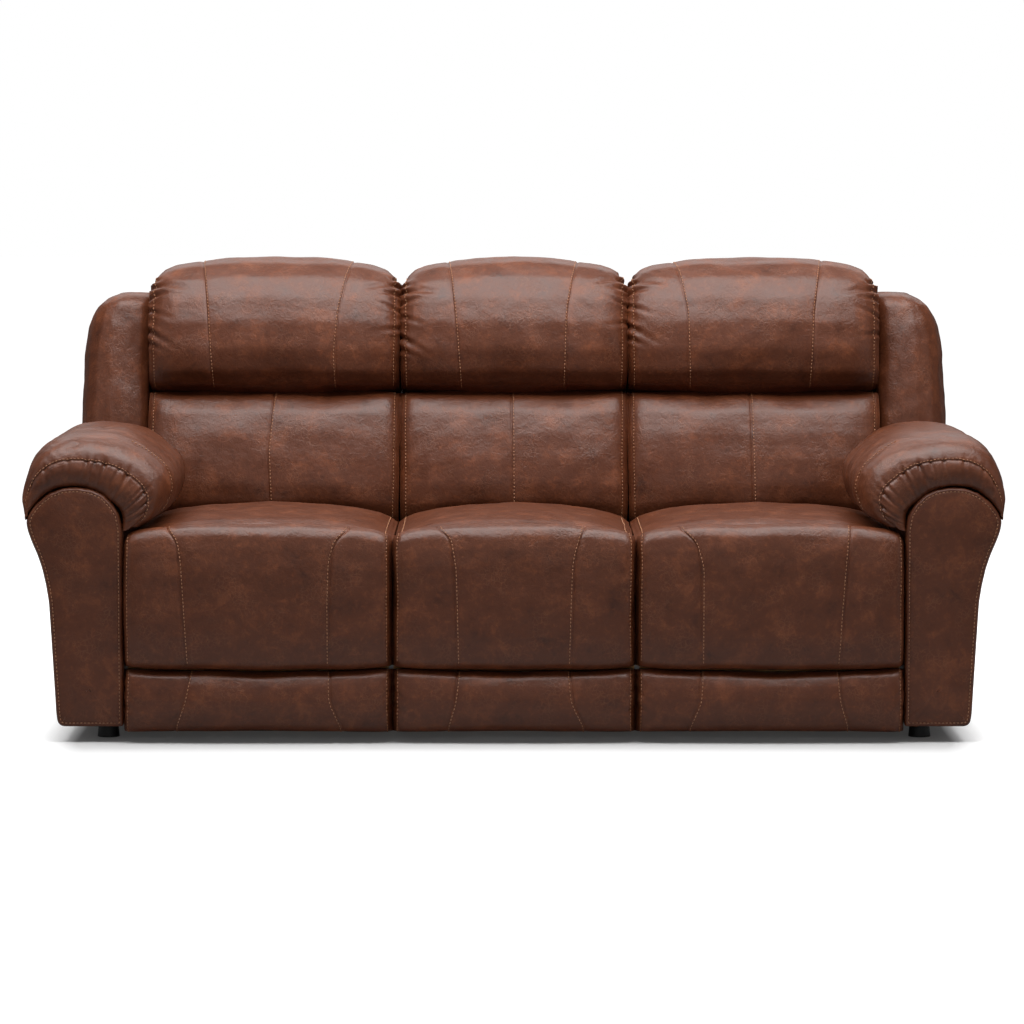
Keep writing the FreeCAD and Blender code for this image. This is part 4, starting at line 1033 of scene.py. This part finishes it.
class SOFA_OT_arm_pads(SofaOperator, bpy.types.Operator):
    """Build the padded rolls over both arms, with their pleated fronts"""

    bl_idname = "sofa.arm_pads"
    bl_label = "Arm Pads"

    def execute(self, context):
        sewing = context.scene.sofa_sewing
        nose = loop(ROLL_NOSE, 250, 6.0, (NOSE_SEAM, RING_SEAM))
        share, deep = nose[:, 0] / ROLL_DEEP, nose[:, 1]
        pairs = np.array(ROLL_ROUND, float)
        run = np.r_[0, np.cumsum(np.linalg.norm(np.diff(pairs[:, 1], axis=0), axis=1))]
        run /= run[-1]

        def draw(columns, rows):
            start_at = curve(ROLL_START, deep[rows], 14.0)
            tau = start_at[None, :] + (1 - start_at[None, :]) * columns[:, None]
            shape = tau.shape
            both = [stretch(run, pairs[:, k], tau.ravel()).reshape(*shape, 2) for k in (0, 1)]
            thick = np.linalg.norm(both[1] - both[0], axis=2)
            small = (thick / 124).clip(0.35, 1)
            y = deep[rows][None, :] - (1 - small) * curve(
                [(-10, -10), (70, 70), (320, 0), (700, 0)], deep[rows])[None, :]
            fit = curve([(0, 0.87), (0.55, 0.87), (0.85, 1), (1, 1)], tau.ravel()).reshape(shape)
            flat = both[0] + (both[1] - both[0]) * (share[rows][None, :] * fit)[..., None]
            return np.stack([flat[..., 0], y, flat[..., 1]], axis=-1), tau

        columns, everything = np.linspace(0, 1, 130), np.arange(len(nose))
        grid, tau = draw(columns, everything)
        rough_columns, rough_rows = np.linspace(0, 1, 34), everything[::4]
        rough, _ = draw(rough_columns, rough_rows)
        held = np.zeros(rough.shape[:2])
        held[0] = held[-1] = 1
        held[:, share[rough_rows] < 0.08] = 1
        moved = settle(rough, held, 2.5, 4.5)
        grid = grid + refine(moved, rough_columns, rough_rows, columns, len(nose))
        normal = normals_of(grid)
        gap, ring_gap = (np.sqrt((nose[:, 0] - x) ** 2 + (deep - y) ** 2)
                         for x, y in (NOSE_SEAM, RING_SEAM))
        front = (deep < 150)[None, :]
        seams = front * groove(gap, 1.15 * sewing.seam / MM, 4.0, 4.0, 24)
        # The ring seam shows only low on the roll's inner side
        low_side = 1 / (1 + np.exp((tau - 0.42) * 30))
        seams = seams + low_side * front * groove(ring_gap, 0.6 * sewing.seam / MM, 3.5, 1.6, 18)
        # Pleats die away beyond the seam
        inner = (nose[:, 0] < NOSE_SEAM[0]) & (deep < 60)
        fade = np.where(inner, np.exp(-gap / 38.0), np.exp(-gap / 9.0)) * (deep < 90)
        for side, sign in SIDES:
            sink = seams.copy()
            for number, (spot, width, depth, slant) in enumerate(ARM_PLEATS):
                spot += 0.012 * math.sin(5.1 * number + (2.0 if sign < 0 else 0.0))
                off = (tau - spot - slant * share[None, :]) / width
                sink += fade[None, :] * depth * (
                    np.exp(-off ** 2) - 0.35 * np.exp(-(np.abs(off) - 2.1) ** 2))
            sink -= 1.4 * ripple(grid, 170.0, 31 + sign) + 0.45 * ripple(grid, 40.0, 41 + sign)
            sink *= (share > 0.04)[None, :]
            shaped = grid - normal * sink[..., None]
            world = on_arm(shaped, sign, FRONT_Y / MM + ROLL_BACK) * MM
            dress(f"{side}_arm_pad_leather", *capped(world), "root", [f"{side}_arm_pad"], 0.8)
            outward = normals_of(world)
            rows = []
            for mark, away, cut in ((NOSE_SEAM, gap, slice(8, -6)),
                                    (RING_SEAM, ring_gap, slice(8, 56))):
                row = int(np.where(deep > mark[1], np.abs(away - 5.0), 1e9).argmin())
                rows.append((world[cut, row], outward[cut, row]))
            sew(f"{side}_arm_pad_stitching", rows, "root")
        return {"FINISHED"}


class SOFA_OT_arm_fronts(SofaOperator, bpy.types.Operator):
    """Build the padded, topstitched front panels of both arms"""

    bl_idname = "sofa.arm_fronts"
    bl_label = "Arm Fronts"

    def execute(self, context):
        outline = loop(ARM_FRONT, 420, 5.0)
        low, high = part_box("right_arm_front_panel")
        for side, sign in SIDES:
            def place(points, sign=sign):
                return on_arm(points, sign, low.y / MM)

            points, faces = panel(outline, [(76, 120), (104, 460)], FRONT_DEPTHS, place,
                                  (high.y - low.y) / MM, 5.0, 0.5)
            dress(f"{side}_arm_front_leather", points, faces, "root",
                  [f"{side}_arm_front_panel"], 0.9)
            path = panel_ring(points, outline, FRONT_DEPTHS, FRONT_STITCH)
            out = np.tile((0.0, -1.0, 0.0), (len(path), 1))
            sew(f"{side}_arm_front_stitching", [(path, out)], "root")
        return {"FINISHED"}


class SOFA_OT_arm_covers(SofaOperator, bpy.types.Operator):
    """Build the leather over the arms' boards, with a recess for each release cup"""

    bl_idname = "sofa.arm_covers"
    bl_label = "Arm Covers"

    def execute(self, context):
        seam = context.scene.sofa_sewing.seam / MM
        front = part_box("right_arm_cover")[0].y / MM
        cup_low, cup_high = (np.array(corner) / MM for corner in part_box("right_release_bezel"))
        marks = (ROLL_EDGE, HEM, (152, cup_low[2] + 4), (155, cup_high[2] - 4))
        outline = loop(ARM_FRONT, 260, 5.0, marks)
        fine = np.array([-8, -4, -2, -1, 0, 1, 2, 4, 8])
        y = np.unique(np.r_[
            np.linspace(front, ARM_REAR - 12, 60), ARM_REAR - REAR_STEPS, front + FRONT_SEAM + fine,
            ARM_REAR - REAR_SEAM + fine, cup_low[1] + 4 + fine, cup_high[1] - 4 + fine].round(3))
        grid = self.tube(outline, y)
        x, back, z = np.moveaxis(grid, -1, 0)
        outer = (x > 90) & (z < ROLL_EDGE[1] + 30)
        # Distance in from the edge of the cup's opening
        inside = np.minimum(np.minimum(back - cup_low[1], cup_high[1] - back),
                            np.minimum(z - cup_low[2], cup_high[2] - z))
        pushed = ((inside - 3) / 2).clip(0, 1) * (x > 90)
        box = loop(TAIL, 180, 8.0)
        tail_y = np.unique(np.r_[
            np.linspace(ARM_REAR - 6, TAIL_REAR - 12, 24), TAIL_REAR - REAR_STEPS,
            TAIL_REAR - REAR_SEAM + fine])
        tail = self.tube(box, tail_y)
        for side, sign in SIDES:
            sink = curve(REAR_ROUND, ARM_REAR - back) - 1.1 * ripple(grid, 210.0, 81 + sign)
            for mark in (ROLL_EDGE, HEM):
                sink += groove(np.hypot(x - mark[0], z - mark[1]), seam, 3.0, 1.6, 26)
            for spot in (front + FRONT_SEAM, ARM_REAR - REAR_SEAM):
                sink += outer * groove(np.abs(back - spot), seam, 3.0, 1.2, 20)
            shaped = grid - normals_of(grid) * (sink * (1 - pushed))[..., None]
            # The recess is pushed in to 8 mm behind the cup
            shaped[..., 0] = shaped[..., 0] * (1 - pushed) + (cup_low[0] - arm_in() - 8) * pushed
            world = on_arm(shaped, sign) * MM
            dress(f"{side}_arm_cover_leather", *capped(world), "root", [f"{side}_arm_cover"], 0.95)
            sink = curve(REAR_ROUND, TAIL_REAR - tail[..., 1])
            sink -= 0.8 * ripple(tail, 160.0, 91 + sign)
            sink += 0.8 * seam * np.exp(-np.abs(tail[..., 1] - (TAIL_REAR - REAR_SEAM)) / 3.0)
            end = on_arm(tail - normals_of(tail) * sink[..., None], sign) * MM
            dress(f"{side}_arm_tail_leather", *capped(end), "root", [], 0.95)
            rows = self.seam_paths(world, outline, y, front) + self.tail_paths(end, box, tail_y)
            sew(f"{side}_arm_cover_stitching", rows, "root")
        return {"FINISHED"}

    def tube(self, outline, y):
        """An outline as (x, height), carried along the given places from front to back."""
        x, z = (np.broadcast_to(outline[:, k], (len(y), len(outline))) for k in (0, 1))
        return np.stack([x, np.repeat(y[:, None], len(outline), axis=1), z], axis=-1)

    def seam_paths(self, world, outline, y, front):
        """Rows beside the seams: two along the arm, two up its outer side."""
        outward = normals_of(world)
        rows = []
        for mark in (ROLL_EDGE, HEM):
            gap = np.hypot(outline[:, 0] - mark[0], outline[:, 1] - mark[1])
            row = int(np.where(outline[:, 1] > mark[1], np.abs(gap - 5.0), 1e9).argmin())
            kept = (y > front + 4) & (y < ARM_REAR - 8)
            rows.append((world[kept, row], outward[kept, row]))
        up = np.flatnonzero(
            (outline[:, 0] > 90) & (outline[:, 1] > HEM[1]) & (outline[:, 1] < ROLL_EDGE[1]))
        for spot in (front + FRONT_SEAM + 4, ARM_REAR - REAR_SEAM - 4):
            column = int(np.abs(y - spot).argmin())
            rows.append((world[column, up], outward[column, up]))
        return rows

    def tail_paths(self, end, box, tail_y):
        """The row beside the seam up the outer side of the low rear part."""
        outward = normals_of(end)
        column = int(np.abs(tail_y - (TAIL_REAR - REAR_SEAM - 4)).argmin())
        up = np.flatnonzero((box[:, 0] > 130) & (box[:, 1] > 52) & (box[:, 1] < 230))
        return [(end[column, up], outward[column, up])]


class SOFA_OT_back_wings(SofaOperator, bpy.types.Operator):
    """Build the padded wings outside the end backs"""

    bl_idname = "sofa.back_wings"
    bl_label = "Back Wings"

    def execute(self, context):
        section = loop([(a * WING_WIDE, b * WING_DEEP) for a, b in WING_SECTION], 150, 6.0)
        across, forward = section[:, 0] / WING_WIDE, section[:, 1] / WING_DEEP
        heights = np.unique(np.r_[
            np.linspace(WING_LOW, WING_TOP - 60, 90), np.linspace(WING_TOP - 60, WING_TOP - 8, 22),
            WING_TOP - np.array([6, 4.2, 2.8, 1.6, 0.8, 0.2, 0])])
        up = heights - WING_LOW
        front = curve([(v - WING_LOW, w) for v, w in WING_FRONT], up, 7.0)
        wide = (WING_WIDE + curve(WING_FLARE, up) - curve(WING_OUT, WING_TOP - heights, 2.0)
                - curve(WING_FOOT, up))
        grid = np.stack([across[None, :] * wide[:, None],
                         WING_REAR - forward[None, :] * (WING_REAR - front)[:, None],
                         np.repeat(heights[:, None], len(across), axis=1)], axis=-1)
        normal = normals_of(grid)
        for side, sign in SIDES:
            sink = (1.2 - 1.4 * ripple(grid, 200.0, 61 + sign)
                    - 0.4 * ripple(grid, 45.0, 71 + sign)) * (forward > 0.06)[None, :]
            shaped = grid - normal * sink[..., None] + np.array([arm_in() + 1.0, 0, 0])
            world = mirror_x(leaned(shaped), sign) * MM
            dress(f"{side}_wing_leather", *capped(world), f"{side}_back", [f"{side}_back_wing"],
                  0.8)
        return {"FINISHED"}


class SOFA_OT_back_panels(SofaOperator, bpy.types.Operator):
    """Build the padded panels over the rear of the three back frames"""

    bl_idname = "sofa.back_panels"
    bl_label = "Back Panels"

    def execute(self, context):
        low, top, rear, thick = -60.0, 698.0, 20.3, 25.0
        c, s = math.cos(BACK_LEAN), math.sin(BACK_LEAN)
        for module in MODULES:
            middle, half = module_span(f"{module}_back_panel")
            outline = loop([(-half, low), (half, low), (half, top), (-half, top)], 520, 9.0)

            def place(p, middle=middle):
                return leaned(np.stack(
                    [p[..., 0] + middle, rear + thick - p[..., 1], p[..., 2]], axis=-1))

            points, faces = panel(outline, [(0, low + half), (0, top - half)], PANEL_DEPTHS, place,
                                  thick, 2.0, 0.8)
            body = body_of(module, "back")
            dress(f"{module}_back_panel_leather", points, faces, body, [f"{module}_back_panel"],
                  0.9)
            path = panel_ring(points, outline, PANEL_DEPTHS, PANEL_STITCH)
            out = np.tile((0.0, c, -s), (len(path), 1))
            sew(f"{module}_back_panel_stitching", [(path, out)], body)
        return {"FINISHED"}


class SOFA_OT_frame_finish(SofaOperator, bpy.types.Operator):
    """Give every frame and mechanism part its wood, steel, plastic or webbing finish"""

    bl_idname = "sofa.frame_finish"
    bl_label = "Frame and Mechanism"

    def execute(self, context):
        slots = {part["node"]: part["material_slot"] for part in frame["record"]["subparts"]}
        for node, thing in frame["nodes"].items():
            finish = finishes[slots[node]]
            thing.data.materials.clear()
            thing.data.materials.append(finish)
        return {"FINISHED"}


class SOFA_OT_stage(SofaOperator, bpy.types.Operator):
    """Set up the floor, lights, world and camera"""

    bl_idname = "sofa.stage"
    bl_label = "Stage"

    def execute(self, context):
        scene, setup = context.scene, context.scene.sofa_stage
        scene.view_settings.view_transform = "Standard"
        lens = bpy.data.cameras.new("front_camera")
        lens.lens, lens.sensor_width = setup.lens, 36.0
        camera = bpy.data.objects.new("front_camera", lens)
        scene.collection.objects.link(camera)
        # The photograph has the sofa two pixels right of its middle
        camera.location = (-0.0044, FRONT_Y - setup.distance, setup.height)
        camera.rotation_euler = (math.pi / 2 - setup.pitch, 0, 0)
        scene.camera = camera
        points = np.array([(-40, -40, 0), (40, -40, 0), (40, 40, 0), (-40, 40, 0)], float)
        floor = bpy.data.meshes.new("studio_floor")
        floor.from_pydata(points.tolist(), [], [(0, 1, 2, 3)])
        floor_object = bpy.data.objects.new("studio_floor", floor)
        scene.collection.objects.link(floor_object)
        floor.materials.append(self.floor_surface(setup))
        self.world(scene)
        for name, spot, aim, size, power in (
                ("ceiling_softbox", (0, -0.7, 3.3), (0, -0.1, 0.5), (4.8, 2.2), 240),
                ("rear_softbox", (0, 2.4, 2.6), (0, 0, 0.8), (5.0, 1.6), 40),
                ("front_softbox", (0, -5.4, 2.0), (0, 0, 0.4), (5.0, 2.0), 22),
                ("left_fill", (-4.2, -1.6, 1.8), (0, 0, 0.5), (2.0, 2.4), 10),
                ("right_fill", (4.2, -1.6, 1.8), (0, 0, 0.5), (2.0, 2.4), 10)):
            lamp = bpy.data.lights.new(name, "AREA")
            lamp.shape, lamp.size, lamp.size_y, lamp.energy = "RECTANGLE", *size, power
            thing = bpy.data.objects.new(name, lamp)
            thing.location = spot
            thing.rotation_euler = (Vector(aim) - Vector(spot)).to_track_quat("-Z", "Y").to_euler()
            scene.collection.objects.link(thing)
        return {"FINISHED"}

    def floor_surface(self, setup):
        """Matt painted floor that meets the white backdrop without a line."""
        m, place = start("studio_floor_paint")
        grit = add(m, "TexNoise", Scale=180.0, Detail=2.0).outputs["Fac"]
        normal = bump(m, 0.05, 0.0004, grit)
        paint = add(m, "BsdfDiffuse", Color=linear(setup.floor), Normal=normal)
        # Seen by the camera, the open floor is as white as the backdrop and keeps the shadow; its
        # glow is dimmed close to the sofa, which paints shade in a band round it
        bright = add(m, "BsdfDiffuse", Color=(0.5, 0.5, 0.5, 1), Normal=normal)
        # Distance out from a box round the sofa, stretched sideways: the glow is weakest near the
        # box, so the floor there is painted darker than the lamps make it (painted shade)
        for operation, *value in (("ABSOLUTE",), ("SUBTRACT", (0.93, 0.42, 0)),
                                  ("MAXIMUM", (0, 0, 0)), ("MULTIPLY", (4, 1, 1))):
            place = compute(m, operation, place, *value, kind="VectorMath", out="Vector")
        away = compute(m, "LENGTH", place, kind="VectorMath")
        glow_dimmed_for_painted_shade = add(m, "MapRange", Value=away, From_Min=0.12, From_Max=0.62, To_Min=0.03,
                     To_Max=1.0).outputs["Result"]
        backdrop_glow_with_painted_shade = add(m, "Emission", Color=(1, 1, 1, 1), Strength=glow_dimmed_for_painted_shade)
        both = add(m, "AddShader", i0=bright.outputs[0], i1=backdrop_glow_with_painted_shade.outputs[0])
        seen = add(m, "LightPath").outputs["Is Camera Ray"]
        mixed = add(m, "MixShader", Fac=seen, i1=paint.outputs[0], i2=both.outputs[0])
        add(m, "OutputMaterial", Surface=mixed.outputs[0])
        return m

    def world(self, scene):
        """A dim room around the sofa that looks white to the camera."""
        world = bpy.data.worlds.new("studio")
        scene.world = world
        world.use_nodes = True
        world.node_tree.nodes.clear()
        room, white = (add(world, "Background", Color=(1, 1, 1, 1), Strength=strength).outputs[0]
                       for strength in (0.14, 1.0))
        seen = add(world, "LightPath").outputs["Is Camera Ray"]
        mixed = add(world, "MixShader", Fac=seen, i1=room, i2=white)
        add(world, "OutputWorld", Surface=mixed.outputs[0])


STEPS = (SOFA_OT_finishes, SOFA_OT_frame_finish, SOFA_OT_back_cushions, SOFA_OT_seat_cushions,
         SOFA_OT_foot_pads, SOFA_OT_arm_pads, SOFA_OT_arm_fronts, SOFA_OT_arm_covers,
         SOFA_OT_back_wings, SOFA_OT_back_panels, SOFA_OT_stage)
GROUPS = (("sofa_leather", SofaLeather), ("sofa_sewing", SofaSewing), ("sofa_stage", SofaStage))


class SOFA_PT_panel(bpy.types.Panel):
    bl_label = "Reclining Sofa"
    bl_idname = "SOFA_PT_panel"
    bl_space_type = "VIEW_3D"
    bl_region_type = "UI"
    bl_category = "Sofa"

    def draw(self, context):
        for attribute, group in GROUPS:
            box = self.layout.box()
            for name in group.__annotations__:
                box.prop(getattr(context.scene, attribute), name)
        for step in STEPS:
            self.layout.operator(step.bl_idname)


def register():
    for attribute, group in GROUPS:
        bpy.utils.register_class(group)
        setattr(bpy.types.Scene, attribute, bpy.props.PointerProperty(type=group))
    for step in (*STEPS, SOFA_PT_panel):
        bpy.utils.register_class(step)


def unregister():
    for step in (SOFA_PT_panel, *reversed(STEPS)):
        bpy.utils.unregister_class(step)
    for attribute, group in GROUPS:
        delattr(bpy.types.Scene, attribute)
        bpy.utils.unregister_class(group)


def main():
    register()
    for step in STEPS:
        area, name = step.bl_idname.split(".")
        getattr(getattr(bpy.ops, area), name)()


if __name__ == "__main__":
    main()
